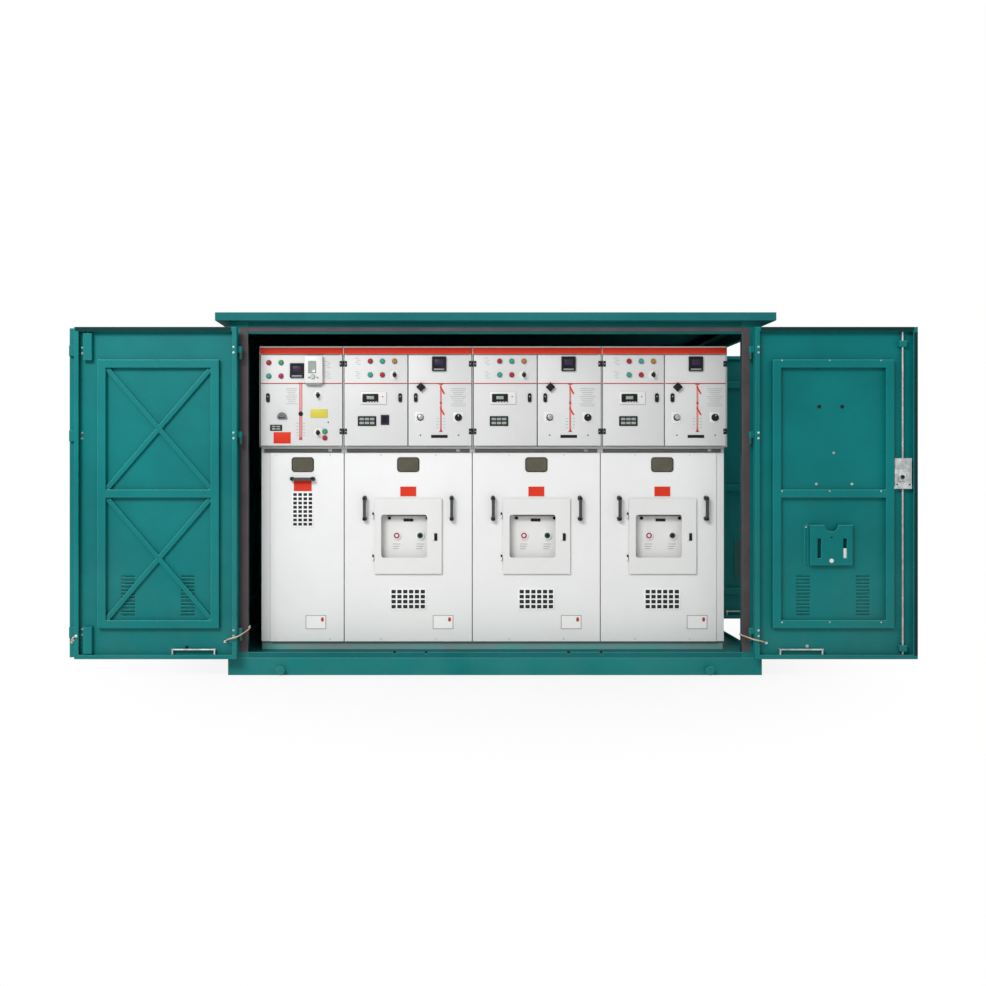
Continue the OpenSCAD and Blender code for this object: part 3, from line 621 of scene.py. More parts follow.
# ---- hinges -------------------------------------------------------------------------------
# Welded knuckle hinges with a fixed arm and pin, held through the lip of each leaf by a pair
# of zinc-plated bolts with washers. A second column of bolts on the left leaf stands by its
# free edge, where the folded leaf hangs.
dress(coat_finish("hinge_steel", (0.010, 0.060, 0.056), (0.020, 0.090, 0.085),
                  (0.06, 0.10, 0.09), (0.20, 0.22, 0.21)), "fixed_hinges")
hinge_levels = (0.072, 0.667, 0.925)
hinge_bolt_gap = 0.031
hinge_bolt_r = 0.0043
lip_y = -0.791
lip_depth = 0.0375
skin_y = lip_y + lip_depth
leaf_lo, leaf_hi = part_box("left_leaf")
leaf_z = leaf_lo.z
leaf_h = leaf_hi.z - leaf_z


def bolt(centre, radius):
    """A bolt head on its washer."""
    x, y, z = centre
    washer_t = 0.0015
    washer = disc(centre, radius * 1.5, washer_t, [(0.96, 0.0004)], zinc, 20)
    return [washer, disc((x, y - washer_t, z), radius, 0.004, [(0.86, 0.0008)], zinc, 6)]


bolt_columns = {"left": ((-1.4545, lip_y), (-2.307, skin_y)), "right": ((1.4545, lip_y),)}
for side, columns in bolt_columns.items():
    heads = []
    for x, y in columns:
        for level in hinge_levels:
            z = leaf_z + level * leaf_h - 0.004
            heads += bolt((x, y, z), hinge_bolt_r) + bolt((x, y, z + hinge_bolt_gap), hinge_bolt_r)
    join(f"{side}_hinge_bolts", heads, f"{side}_door")


# ---- cubicle housings ---------------------------------------------------------------------
# Four enamelled steel cubicles in a row: gas tank and cable bay below, an instrument box
# above with a folded header. A red band crosses the headers, and a mid-grey bar in the recess
# stands for the shade there: painted shade.
# The covers and the hatch frames take lighter copies of the grey enamel of the housings and door pans:
# painted light.
enamel = coat_finish("grey_enamel", (0.605, 0.61, 0.605), (0.650, 0.655, 0.650),
                     (0.56, 0.54, 0.50), (0.74, 0.74, 0.73), rough=0.4, dust=0.25)
cover_enamel_painted_light = coat_finish("cover_enamel_painted_light", (0.745, 0.750, 0.745), (0.785, 0.790, 0.785),
                           (0.66, 0.64, 0.60), (0.84, 0.84, 0.83), rough=0.4, dust=0.25)
bright_enamel = coat_finish("bright_enamel", (0.695, 0.70, 0.69), (0.735, 0.74, 0.73),
                            (0.66, 0.64, 0.60), (0.86, 0.86, 0.85), rough=0.35, dust=0.2)
# The plinths take a dark grey for the shade under the cubicles (painted shade). Their dust tint is a painted
# green light thrown up from the base, growing toward their foot.
plinth_paint = coat_finish("plinth_paint", (0.22, 0.27, 0.27), (0.27, 0.32, 0.32), (0.080, 0.400, 0.370),
                           (0.30, 0.42, 0.40), dust=1.0, dust_and_bounce_heights=(0.152, 0.112))
recess_shade_grey = moulded("recess_painted_shade", (0.175, 0.175, 0.165), 0.5)
red_print = moulded("red_print", (0.66, 0.036, 0.014), 0.5, 0.92, specular=0.15)
seam_brown = moulded("seam_brown", (0.16, 0.06, 0.04), 0.6)
housings = [f"housing_{i}" for i in (1, 2, 3, 4)]
dress(enamel, *housings)
dress(plinth_paint, "plinths")
box_y = -0.549
header_z = (1.8285, 1.8645)
recess_low, recess_high = 1.2600, 1.2790
recess_y = -0.471
recess_top = 1.2895
units = [(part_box(name)[0].x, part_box(name)[1].x) for name in housings]
bands = []
for left, right in units:
    bands.append(slab((left + 0.002, box_y - 0.0015, header_z[0]), (right - 0.002, box_y, header_z[1]),
                      red_print, 0.0005))
    bands.append(slab((right - 0.0055, box_y - 0.002, header_z[0] - 0.001),
                      (right - 0.0015, box_y, header_z[1] + 0.006), seam_brown, 0.0005))
join("header_bands", bands)
# The first bar of each unit is mid-grey: painted shade in the recess.
bars = []
for left, right in units:
    bars.append(slab((left + 0.012, recess_y - 0.015, recess_low), (right - 0.012, recess_y, recess_high),
                     recess_shade_grey, 0.003))
    bars.append(slab((left, recess_y - 0.023, recess_high + 0.001), (right, recess_y, recess_top),
                     enamel, 0.001))
    for x in (left, right - 0.016):
        bars.append(slab((x, recess_y - 0.021, recess_low - 0.003), (x + 0.016, recess_y, recess_high),
                         enamel, 0.001))
    bars.append(slab((right - 0.094, recess_y - 0.017, recess_low + 0.003),
                     (right - 0.072, recess_y, recess_high), zinc, 0.002))
join("recess_bars", bars)


# ---- instrument doors ---------------------------------------------------------------------
# Seven pressed pans, enamelled, on hidden pins. Between them they carry push buttons, meters,
# relays, switches and printed mimic lines, fixed through or printed on the sheet.
white = moulded("white_plate", (0.72, 0.72, 0.71), 0.4, 0.95)
lens = moulded("meter_glass", (0.008, 0.006, 0.012), 0.5, 0.7, 0.02, specular=0.15)
meter_grey = moulded("meter_grey", (0.16, 0.165, 0.165), 0.45)
lcd = moulded("display_glass", (0.30, 0.36, 0.30), 0.15, 0.85, 0.02)
silver = zinc_finish("brushed_metal", (0.30, 0.30, 0.30), (0.52, 0.52, 0.51), 0.35, 0.6)
print_grey = moulded("printed_lines", (0.26, 0.29, 0.29), 0.5, 0.95)
cap_colours = {"red": (0.38, 0.016, 0.028), "teal": (0.030, 0.310, 0.250), "green": (0.030, 0.300, 0.120),
               "amber": (0.40, 0.170, 0.030), "yellow": (0.62, 0.54, 0.07), "rose": (0.40, 0.014, 0.090),
               "violet": (0.030, 0.018, 0.045), "rust": (0.46, 0.050, 0.040), "pink": (0.66, 0.300, 0.300),
               "signal": (0.68, 0.035, 0.014)}
caps = {name: moulded(name + "_cap", colour, 0.4, 0.88, specular=0.2)
        for name, colour in cap_colours.items()}


def plate(u, v, w, h, out, finish, edge=0.001, base=0.0):
    """A plate or body on a door face, by its middle and size in millimetres."""
    lo = ((u - w / 2) / 1000, -(base + out) / 1000, (v - h / 2) / 1000)
    hi = ((u + w / 2) / 1000, -base / 1000, (v + h / 2) / 1000)
    return finished(block(lo, hi, edge), finish)


def knob(u, v, r, out, finish, steps=((0.86, 0.001),), sides=24, base=0.0):
    """A round part on a door face, by its middle and size in millimetres."""
    return finished(turned((u / 1000, -base / 1000, v / 1000), r / 1000, out / 1000, steps, sides), finish)


def upright_rounded(lo, hi, corner):
    """A flat block facing the front with its four outline corners rounded."""
    made = block(lo, hi)
    bpy.ops.object.mode_set(mode="EDIT")
    pick(made, "EDGE", lambda edge: abs(edge.verts[0].co.y - edge.verts[1].co.y) > 0.9 * edge.calc_length())
    bpy.ops.mesh.bevel(offset=corner, segments=5, affect="EDGES")
    bpy.ops.object.mode_set(mode="OBJECT")
    return made


def sunk(piece, rim, depth, finish):
    """Sinks the front of a piece inside a rim and gives the floor of it another finish."""
    bpy.ops.object.mode_set(mode="EDIT")
    pick_front(piece)
    bpy.ops.mesh.inset(thickness=rim / 1000, depth=-depth / 1000)
    bpy.ops.object.material_slot_add()
    piece.material_slots[-1].material = finish
    bpy.ops.object.material_slot_assign()
    bpy.ops.object.mode_set(mode="OBJECT")
    return piece


def push_button():
    """A stepped cap in a bright turned ring."""
    ring = knob(0, 0, 16, 3, silver, ((0.92, 0.001), (0.9, -0.0015)))
    return [ring, knob(0, 0, 13, 11, caps["red"], ((0.86, 0.002), (0.6, 0.0008)))]


def square_meter():
    """A square meter: a black bezel round a sunk glass, with a dark field and a grey bar."""
    bezel = sunk(plate(0, 0, 82, 84, 14, black, 0.003), 7, 2, lens)
    return [bezel, plate(0, -33, 60, 8, 1, print_grey, 0.0003, 13.5),
            plate(0, 8, 50, 34, 0.6, caps["violet"], 0.0002, 12)]


def relay():
    """A relay: a white body, a sunk dark window with a display, a red square and white ticks."""
    ticks = [plate(-32 + 16 * i, -23, 8, 5, 1.5, white, 0.0005, 12) for i in range(5)]
    body = plate(0, 0, 150, 72, 8, white, 0.003)
    window = sunk(plate(-18, 0, 92, 48, 5, black, 0.004, 8), 8, 1.5, lens)
    return [body, window, plate(-18, 2, 42, 18, 1, lcd, 0.0003, 11.5),
            plate(53, 8, 7, 7, 1, caps["red"], 0.0003, 8), *ticks]


def counter_panel(w, h, windows):
    """A black sunk panel with a row of displays and a row of grey plates above it."""
    step = (w - 16) / windows
    panel = [sunk(plate(0, 0, w, h, 6, black, 0.003), 4, 1, black)]
    for i in range(windows):
        u = -w / 2 + 8 + (i + 0.5) * step
        panel.append(plate(u, -h / 5, step - 5, h / 4, 1, lcd, 0.0004, 5))
        panel.append(plate(u, h / 5, step - 5, h / 4, 1, print_grey, 0.0004, 5))
    return panel


def marks_round(radius, angles, base):
    """Small printed squares round a knob."""
    return [plate(radius * math.sin(a), radius * math.cos(a), 4, 4, 0.5, print_grey, 0.0001, base)
            for a in angles]


def rotary():
    """A turn switch: a bar grip on a round plate."""
    return [knob(0, 0, 27, 1.5, white), knob(0, 0, 12, 10, black, ((0.9, 0.001), (0.8, 0))),
            plate(0, 0, 12, 34, 20, black, 0.004, 10), plate(0, 12, 2, 7, 0.6, white, 0.0002, 30),
            *marks_round(22, (-1.6, -0.8, 0, 0.8, 1.6), 1.5)]


def dome():
    """A bright dome in a dark ring on a square plate."""
    return [plate(0, 0, 62, 62, 1.2, white, 0.0004), knob(0, 0, 20, 3, black),
            knob(1.5, 2, 16, 6, silver, ((0.85, 0.004), (0.6, 0.002)), 32, 3),
            *marks_round(27, (-2.3, -0.8, 0.8, 2.3), 1.2)]


def fan_meter():
    """A half-round meter: a disc cut off flat below, with a dark scale sunk in it."""
    made = turned((0, 0, 0), 0.027, 0.014, ((0.86, 0.0), (0.96, -0.002)), 36)
    bpy.ops.object.mode_set(mode="EDIT")
    bpy.ops.mesh.select_all(action="SELECT")
    bpy.ops.mesh.bisect(plane_co=(0, 0, -0.010), plane_no=(0, 0, 1), use_fill=True, clear_inner=True)
    bpy.ops.object.mode_set(mode="OBJECT")
    scale = [plate(15 * math.sin(a), 15 * math.cos(a) - 4, 4, 5, 1, black, 0.0004, 11.5)
             for a in (-1.1, -0.4, 0.4, 1.1)]
    return [finished(made, meter_grey), plate(0, -4, 34, 5, 1, black, 0.0004, 12), *scale]


def black_knob():
    """A dark knob with a ridge, on a square plate."""
    return [plate(0, 0, 58, 58, 1.2, white, 0.0004),
            knob(0, 0, 21, 8, black, ((0.9, 0.004), (0.75, 0.004)), 32, 1.2),
            plate(0, 3, 7, 26, 4, black, 0.0015, 14), plate(0, 10, 3, 9, 0.6, white, 0.0002, 18)]


def ruled_block(w, h, rows):
    """Plain printed lines of uneven length, one under another."""
    lines = []
    for row in range(rows):
        length = w * (0.95 - 0.13 * ((row * 5) % 4))
        lines.append(plate(0, h / 2 - (row + 0.5) * h / rows, length, 2.2, 0.4, print_grey, 0.0001))
    return lines


def label_column():
    """Four short printed lines, one under another, set out and in by turns."""
    return [plate((-6, 4)[k % 2], 18 - 12 * k, 22, 2.2, 0.4, print_grey, 0.0001) for k in range(4)]


def mimic_line(top, bottom, width, dots, blades, ticks):
    """A printed busbar with its earth arrow, contact discs and raised switch blades."""
    middle, height = (top + bottom) / 2, top - bottom
    dot_finish = black if width > 12 else caps["rust"]
    line = [plate(0, middle, width, height, 0.6, caps["pink"], 0.0002),
            plate(0, top, 28, 8, 0.9, caps["rust"], 0.0002)]
    for side in (-1, 1):
        line.append(plate(side * (width / 2 - 1), middle, 2.6, height, 0.8, caps["rust"], 0.0002))
    line += [knob(0, v, 0.8 * width, 1.8, dot_finish, ((0.8, 0.0003),)) for v in dots]
    line.append(knob(0, bottom + 6, 13, 1.4, caps["rust"], ((0.3, 0.0002),), 3))
    for v in blades:
        blade = plate(0, v, 9, 50, 1.2, caps["signal"], 0.0003, 0.8)
        swing = Matrix.Rotation(-0.5, 4, "Y") @ Matrix.Translation((0.009, 0, -v / 1000))
        blade.data.transform(Matrix.Translation((0, 0, v / 1000)) @ swing)
        line.append(blade)
    for v in ticks:
        line += [plate(side * 20, v, 12, 2.4, 0.8, print_grey, 0.0002) for side in (-1, 1)]
    return line


def controller():
    """A remote unit that stands on the door: a display, a knob and three keys."""
    keys = [plate(-24 + 24 * k, -48, 14, 9, 2, print_grey, 0.001, 34) for k in range(3)]
    body = plate(0, 0, 107, 160, 34, white, 0.007)
    window = sunk(plate(-7, 13, 46, 70, 4, print_grey, 0.002, 34), 4, 2, lcd)
    return [body, window, knob(-4, -42, 13, 10, silver, ((0.9, 0.002), (0.7, 0)), 28, 34),
            plate(0, -84, 84, 14, 24, print_grey, 0.004), *keys]


def latch():
    """A door lock: a black body with rounded ends and a small round key seat."""
    body = upright_rounded((-0.0105, -0.008, -0.026), (0.0105, 0, 0.026), 0.010)
    return [finished(body, black), knob(0, 7, 4, 0.8, print_grey, ((0.7, -0.0004),), 20, 8)]


def hinge_cover():
    """A small black cap with its screw over a hinge."""
    return [plate(0, 0, 14, 33, 3, black, 0.0012), knob(0, 0, 3, 0.6, silver, ((0.7, -0.0003),), 12, 3)]


def square_cap():
    """A four-sided knob set on its corner."""
    return [knob(0, 0, 27, 18, black, ((0.9, 0.004), (0.6, 0.002)), 4)]


def sunk_plate(w, h, out, finish, rim, depth, floor):
    """A plate with a sunk window."""
    return [sunk(plate(0, 0, w, h, out, finish, 0.002), rim, depth, floor)]


def bare_plate(w, h, out, finish, edge):
    """A plain plate."""
    return [plate(0, 0, w, h, out, finish, edge)]


def screw_dot():
    """A small dark round head."""
    return [knob(0, 0, 4, 1, black)]


def make(kind, *given):
    """One of a kind of fitting, made at the corner of its door as one mesh."""
    return merge(kind(*given))


def pan(lo, hi, wall):
    """A pressed door pan, open behind."""
    made = block(lo, hi)
    bpy.ops.object.mode_set(mode="EDIT")
    pick(made, "FACE", lambda face: face.normal.y > 0.9)
    bpy.ops.mesh.inset(thickness=wall)
    bpy.ops.mesh.extrude_region_move(TRANSFORM_OT_translate={"value": (0, lo[1] + wall - hi[1], 0)})
    bpy.ops.object.mode_set(mode="OBJECT")
    bpy.ops.object.modifier_add(type="BEVEL")
    made.modifiers[-1].width = 0.0012
    made.modifiers[-1].segments = 2
    bpy.ops.object.modifier_apply(modifier=made.modifiers[-1].name)
    bpy.ops.object.shade_smooth_by_angle(angle=0.6)
    return finished(made, enamel)


button, meter, protection, turn_switch = make(push_button), make(square_meter), make(relay), make(rotary)
silver_dome, dark_knob, door_latch, hinge_block = make(dome), make(black_knob), make(latch), make(hinge_cover)
half_meter = make(fan_meter)
notice = make(bare_plate, 99, 50, 3, caps["yellow"], 0.0006)
column = make(label_column)
small_ruled, large_ruled = make(ruled_block, 70, 100, 9), make(ruled_block, 96, 111, 10)
three_counters, two_counters = make(counter_panel, 107, 57, 3), make(counter_panel, 70, 35, 2)
feeder_line = make(mimic_line, 358, 80, 9, (248,), (318, 196), (158, 140, 122, 104))
incomer_line = make(mimic_line, 362, 34, 17, (185,), (), (130, 112, 94, 76, 58))
remote_unit = make(controller)
square_knob = make(square_cap)
strip = make(sunk_plate, 96, 17, 4, black, 3, 1, lens)
dot = make(screw_dot)
flat = make(bare_plate, 100, 66, 1.5, white, 0.0005)
window_plate = make(sunk_plate, 49, 58, 6, caps["violet"], 6, 1, lens)
patterns = [button, meter, protection, turn_switch, silver_dome, dark_knob, door_latch, hinge_block, column,
            small_ruled, large_ruled, three_counters, two_counters, feeder_line, incomer_line, remote_unit,
            square_knob, strip, dot, flat, window_plate, half_meter, notice]


def fit(pattern, u, v, *finishes):
    """A fitting for a door: its pattern, its place in millimetres, and finishes of its own."""
    return pattern, u, v, finishes


def lamp(u, v, colour):
    """A push button or lamp with a cap of a colour."""
    return fit(button, u, v, silver, caps[colour])


first_fittings = [
    lamp(47, 482, "red"), lamp(118, 482, "green"), lamp(47, 404, "teal"), lamp(118, 404, "rose"),
    lamp(372, 83, "green"), lamp(372, 46, "red"), fit(meter, 211, 436), fit(remote_unit, 309, 440),
    fit(turn_switch, 332, 293), fit(turn_switch, 332, 76), fit(half_meter, 124, 166),
    fit(two_counters, 89, 104), fit(flat, 124, 46, red_print), fit(incomer_line, 232, 0),
    fit(small_ruled, 178, 288), fit(dot, 391, 136), fit(notice, 338, 187), fit(column, 391, 470),
    fit(column, 391, 410)]
left_fittings = [
    lamp(150, 490, "red"), lamp(220, 490, "teal"), lamp(291, 490, "amber"), lamp(150, 411, "teal"),
    lamp(220, 411, "red"), fit(turn_switch, 291, 411), fit(column, 79, 490), fit(column, 79, 411),
    fit(protection, 169, 276)]
right_fittings = [
    fit(meter, 177, 475), fit(square_knob, 72, 340), fit(feeder_line, 188, 0), fit(large_ruled, 288, 281),
    fit(silver_dome, 69, 164), fit(dark_knob, 289, 164), fit(dot, 69, 61), fit(dot, 291, 61),
    fit(strip, 179, 54)]
fittings_of = {
    "door_1": first_fittings,
    "door_2a": [*left_fittings, fit(three_counters, 131, 143), fit(window_plate, 235, 150)],
    "door_2b": right_fittings,
    "door_3a": [*left_fittings, fit(three_counters, 146, 143)],
    "door_3b": right_fittings,
    "door_4a": [*left_fittings, fit(three_counters, 146, 143)],
    "door_4b": right_fittings,
}
hinge_rows = (83, 475)
for name, fittings in fittings_of.items():
    lo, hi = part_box(name)
    width = (hi.x - lo.x) * 1000
    hinged_right = name == "door_1" or name.endswith("b")
    hinge_u, latch_u = (width - 8, 42) if hinged_right else (8, width - 42)
    hinge_caps = [fit(hinge_block, hinge_u, v) for v in hinge_rows]
    parts = [pan((lo.x, box_y, lo.z), (hi.x, box_y + 0.016, hi.z), 0.002)]
    line = plate(width / 2, 361, width - 3, 6, 0.8, caps["rust"], 0.0002)
    line.data.transform(Matrix.Translation((lo.x, box_y, lo.z)))
    parts.append(line)
    for pattern, u, v, finishes in [*fittings, *hinge_caps, fit(door_latch, latch_u, 278)]:
        parts.append(again(pattern, (lo.x + u / 1000, box_y, lo.z + v / 1000), *finishes))
    panel = join(name + "_panel_face", parts, name + "_panel")
    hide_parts(name)
for pattern in patterns:
    bpy.data.objects.remove(pattern)

door_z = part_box("door_1")[0].z
row_end = units[-1][1]
barrels = []
for _, right in units:
    reach = 0.005 if right < row_end else -0.001
    for v in hinge_rows:
        z = door_z + v / 1000
        barrels.append(slab((right - 0.005, box_y - 0.003, z - 0.0165), (right + reach, box_y, z + 0.0165),
                            black, 0.0012))
join("hinge_barrels", barrels)


# ---- cable bay covers ---------------------------------------------------------------------
# Enamelled covers hang on the cubicle fronts. Each has a smoked window in a rubber gasket, a
# cut grille for air, a plain red plate, a card holder and bow handles with thick end blocks.
smoked = moulded("smoked_glass", (0.105, 0.095, 0.050), 0.08, 0.25, 0.02, specular=0.6)
grille_shade_sheet = moulded("grille_painted_shade", (0.010, 0.010, 0.011), 0.7)
line_brown = moulded("line_brown", (0.36, 0.29, 0.27), 0.5)
card_white = moulded("card_white", (0.84, 0.84, 0.83), 0.5, 0.97)
dress(cover_enamel_painted_light, "cover_1", "cover_2", "cover_3", "cover_4")
dress(smoked, "cover_glass")
dress(moulded("handle_grey", (0.045, 0.045, 0.047), 0.4), "cover_handles")
cover_y = -0.495
cover_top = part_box("cover_1")[1].z
cover_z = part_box("cover_1")[0].z
cover_h = cover_top - cover_z
window_w, window_h, gasket_w = 0.122, 0.078, 0.004
card_z = (0.224, 0.306)


def grille(middle_x, low_z, width, height, columns, rows):
    """A grid of thin bars over a near-black sheet: painted shade in the openings of the grille."""
    left, right, top = middle_x - width / 2, middle_x + width / 2, low_z + height
    made = [slab((left, cover_y - 0.0006, low_z), (right, cover_y, top), grille_shade_sheet)]
    for c in range(columns + 1):
        x = left + c * width / columns
        made.append(slab((x - 0.0046, cover_y - 0.0035, low_z - 0.004), (x + 0.0046, cover_y, top + 0.004),
                         card_white, 0.001))
    for row in range(rows + 1):
        z = low_z + row * height / rows
        made.append(slab((left, cover_y - 0.0030, z - 0.0042), (right, cover_y, z + 0.0042),
                         card_white, 0.001))
    return made


for i, (left, right) in enumerate(units):
    x = (left + right) / 2
    z = cover_top - 0.030 - window_h / 2
    half_w, half_h = window_w / 2 + gasket_w, window_h / 2 + gasket_w
    window = upright_rounded((x - half_w, cover_y - 0.004, z - half_h),
                             (x + half_w, cover_y, z + half_h), 0.018)
    face = [sunk(finished(window, black), 5, 2.5, smoked)]
    plate_w, plate_lo, plate_hi = (0.111, 1.028, 1.113) if i == 0 else (0.100, 0.998, 1.062)
    sign = slab((x - plate_w / 2, cover_y - 0.002, plate_lo), (x + plate_w / 2, cover_y, plate_hi),
                white, 0.0005)
    face.append(sunk(sign, 3, 0.2, red_print))
    if i == 0:
        face += grille(x, cover_z + 0.61 * cover_h, 0.120, 0.18 * cover_h, 4, 8)
    else:
        face += grille(x, cover_z + 0.171 * cover_h, 0.205, 0.106 * cover_h, 6, 4)
    card_x = x + (0.077 if i == 0 else 0.204)
    card = slab((card_x - 0.060, cover_y - 0.0016, card_z[0]), (card_x + 0.060, cover_y, card_z[1]),
                line_brown, 0.0004)
    face.append(sunk(card, 3.5, 0.3, card_white))
    mark = upright_rounded((card_x + 0.030, cover_y - 0.0026, 0.268),
                           (card_x + 0.046, cover_y - 0.0013, 0.293), 0.007)
    face.append(finished(mark, caps["rust"]))
    for side in (-1, 1):
        for z in (cover_z + 0.016, cover_top - 0.012):
            face.append(disc((x + side * 0.16, cover_y, z), 0.004, 0.002, [(0.7, 0.0004)], zinc, 12))
    join(f"cover_{i + 1}_fittings", face)

handle_lo, handle_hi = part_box("cover_handles")
grips = []
for left, right in units[1:]:
    for side in (-1, 1):
        x = (left + right) / 2 + side * 0.254
        for z in (handle_lo.z, handle_lo.z + 0.118):
            grips.append(slab((x - 0.012, handle_lo.y, z), (x + 0.012, cover_y, z + 0.022), black, 0.006, 3))
first_x = (units[0][0] + units[0][1]) / 2
for x in (first_x - 0.071, first_x + 0.049):
    grips.append(slab((x, cover_y - 0.037, handle_hi.z - 0.020), (x + 0.022, cover_y, handle_hi.z),
                      black, 0.006, 3))
join("handle_end_blocks", grips)


# ---- hatches and test panels --------------------------------------------------------------
# A hinged frame on each wide cover opens over a recessed test panel of pale board with two
# ringed test sockets, dark blocks and short ruled marks. The frame closes on a latch.
board = moulded("beige_panel", (0.76, 0.755, 0.74), 0.5, 0.94)
dress(board, "test_panels")
dress(bright_enamel, "hatch_2", "hatch_3", "hatch_4")
socket_green = moulded("socket_green", (0.020, 0.075, 0.045), 0.4)
board_shade = moulded("board_shade", (0.26, 0.20, 0.15), 0.6)
board_y = -0.450
socket_out = 0.0085
socket_x = 0.069
for i, name in enumerate(("hatch_2", "hatch_3", "hatch_4")):
    lo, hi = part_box(name)
    x = (units[i + 1][0] + units[i + 1][1]) / 2
    z = lo.z + (hi.z - lo.z) / 2
    rims, centres = [], []
    for side, cap, middle in ((-1, caps["rose"], white), (1, socket_green, black)):
        seat = (x + side * socket_x, board_y, z)
        crown = (seat[0], board_y - socket_out, z)
        rims.append(disc(seat, 0.025, socket_out, [(0.80, 0.0), (0.9, 0.0004)], board, 32))
        rims.append(disc(crown, 0.017, 0.002, [(0.7, 0.0), (0.9, -0.0015)], cap, 32))
        centres.append(disc(crown, 0.009, 0.0015, [(0.7, 0.0005)], middle))
    marks = [slab((x - 0.030, board_y - 0.005, z + 0.083), (x + 0.030, board_y, z + 0.099), black, 0.003)]
    for side in (-1, 1):
        stop_x, mark_x = x + side * 0.112, x + side * socket_x
        marks.append(slab((stop_x - 0.009, board_y - 0.004, z + 0.094), (stop_x + 0.009, board_y, z + 0.110),
                          black, 0.004))
        for k in range(3):
            low = z - 0.052 - 0.014 * k
            marks.append(slab((mark_x - 0.022, board_y - 0.0006, low),
                              (mark_x + 0.022 - 0.006 * k, board_y, low + 0.003), print_grey))
    marks.append(slab((x - 0.128, board_y - 0.0008, z + 0.113), (x + 0.128, board_y, z + 0.121), board_shade))
    join(f"test_sockets_{i + 2}", rims + centres + marks)

    catch_z = lo.z + 0.49 * (hi.z - lo.z)
    catch = [slab((x + 0.1490, lo.y, catch_z - 0.022), (x + 0.1700, lo.y + 0.006, catch_z + 0.022),
                  black, 0.0029)]
    for level in (0.22, 0.78):
        z = lo.z + level * (hi.z - lo.z)
        catch.append(slab((lo.x + 0.001, lo.y + 0.004, z + 0.001), (lo.x + 0.012, lo.y + 0.010, z + 0.0155),
                          black, 0.002))
    join(f"{name}_latch", catch, f"{name}_flap")


# ---- outer leaves -------------------------------------------------------------------------
# Folded sheet leaves with hat-section ribs, spot-welded inside. Screws close the rails, zinc
# pull bars and a rod lock with its case hold them, and the right leaf has a document pocket.
dress(zinc, "left_fittings", "right_lock", "side_pull")
rod_x, rod_y = 2.263, -0.771
guide_z = (0.19, 1.835)
repaint("left_fittings", green, lambda at: at.x < -2.2)
repaint("right_lock", green_ribs, lambda at: at.x > 2.2 and not guide_z[0] <= at.z <= guide_z[1])
repaint("right_lock", silver, lambda at: abs(at.x - rod_x) < 0.008 and abs(at.y - rod_y) < 0.008)
leaf_x = 1.438
leaf_w = 0.900


def leaf_point(side, across, up, out):
    """A place on an open front leaf: from its hinge edge, from its foot, and out of its skin."""
    return Vector((side * (leaf_x + across), skin_y - out, leaf_z + up))


def rail_dots(side, levels, places, out, finish):
    """Small weld or screw heads along the rails of a leaf."""
    return [disc(leaf_point(side, across, level, out), 0.0042, 0.0015, [(0.7, 0.0008)], finish, 12)
            for level in levels for across in places]


def lip_strip(side, start, end, low, high):
    """A near-black strip along the lip of a leaf: painted shade."""
    a = leaf_point(side, start, low, lip_depth)
    b = leaf_point(side, end, high, lip_depth + 0.002)
    return slab((min(a.x, b.x), b.y, a.z), (max(a.x, b.x), a.y, b.z), lip_shade_finish, 0.0006)


rib_out = skin_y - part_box("left_stiffeners")[0].y
rail_levels = [0.902 * leaf_h - 0.004, 0.498 * leaf_h + 0.014, 0.092 * leaf_h + 0.034]
left_parts = rail_dots(-1, rail_levels, (0.20, 0.44, 0.70), rib_out, green_ribs)
left_parts.append(disc(leaf_point(-1, 0.285, 0.060, 0), 0.009, 0.008, [(0.8, 0.002)], black, 6))
join("left_leaf_fasteners", left_parts, "left_door")

# A near-black green strip on the top lip of each leaf, and down the free edge of the right leaf, is painted
# shade.
lip_shade_finish = moulded("lip_painted_shade", (0.001, 0.028, 0.028), 0.6, 0.7, specular=0.15)
top_low, top_high = leaf_h - 0.022, leaf_h - 0.001
left_strips = [lip_strip(-1, 0.030, leaf_w - 0.006, top_low, top_high)]
join("left_lip_painted_shade", left_strips, "left_door")
right_strips = [lip_strip(1, 0.030, leaf_w - 0.022, top_low, top_high),
                lip_strip(1, leaf_w - 0.020, leaf_w - 0.001, 0.02, leaf_h - 0.030)]
join("right_lip_painted_shade", right_strips, "right_door")

right_parts = rail_dots(1, rail_levels, (0.150, 0.415, 0.700), rib_out, zinc)
skin_bolts = ((0.449, 1.144, 0.005), (0.352, 0.970, 0.005), (0.551, 0.970, 0.005), (0.30, 0.066, 0.006))
for across, up, size in skin_bolts:
    right_parts += bolt(leaf_point(1, across, up, 0), size)
for across in (0.368, 0.496):
    plug = disc(leaf_point(1, across, 1.402, 0), 0.010, 0.003, [(0.75, 0.001), (0.6, -0.002)], black, 20)
    right_parts.append(plug)
join("right_leaf_fasteners", right_parts, "right_door")

pocket_lo, pocket_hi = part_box("document_pocket")
pocket_y, pocket_z = pocket_lo.y, pocket_lo.z
pocket_x = 0.5 * (pocket_lo.x + pocket_hi.x)
stud = [disc((pocket_x, pocket_y, pocket_z + 0.026), 0.012, 0.003, [(0.85, 0.002), (0.5, 0.0005)], white),
        disc((pocket_x, pocket_y, pocket_z + 0.155), 0.005, 0.0012, [(0.7, 0.0002)], black, 16),
        disc((pocket_lo.x + 0.010, pocket_hi.y - 0.002, pocket_hi.z - 0.014), 0.005, 0.003,
             [(0.7, 0.001)], zinc, 12),
        slab((pocket_x + 0.064, pocket_y + 0.004, pocket_z + 0.030),
             (pocket_x + 0.086, pocket_y + 0.0065, pocket_z + 0.095), white, 0.0006)]
join("pocket_stud_and_card", stud, "right_door")


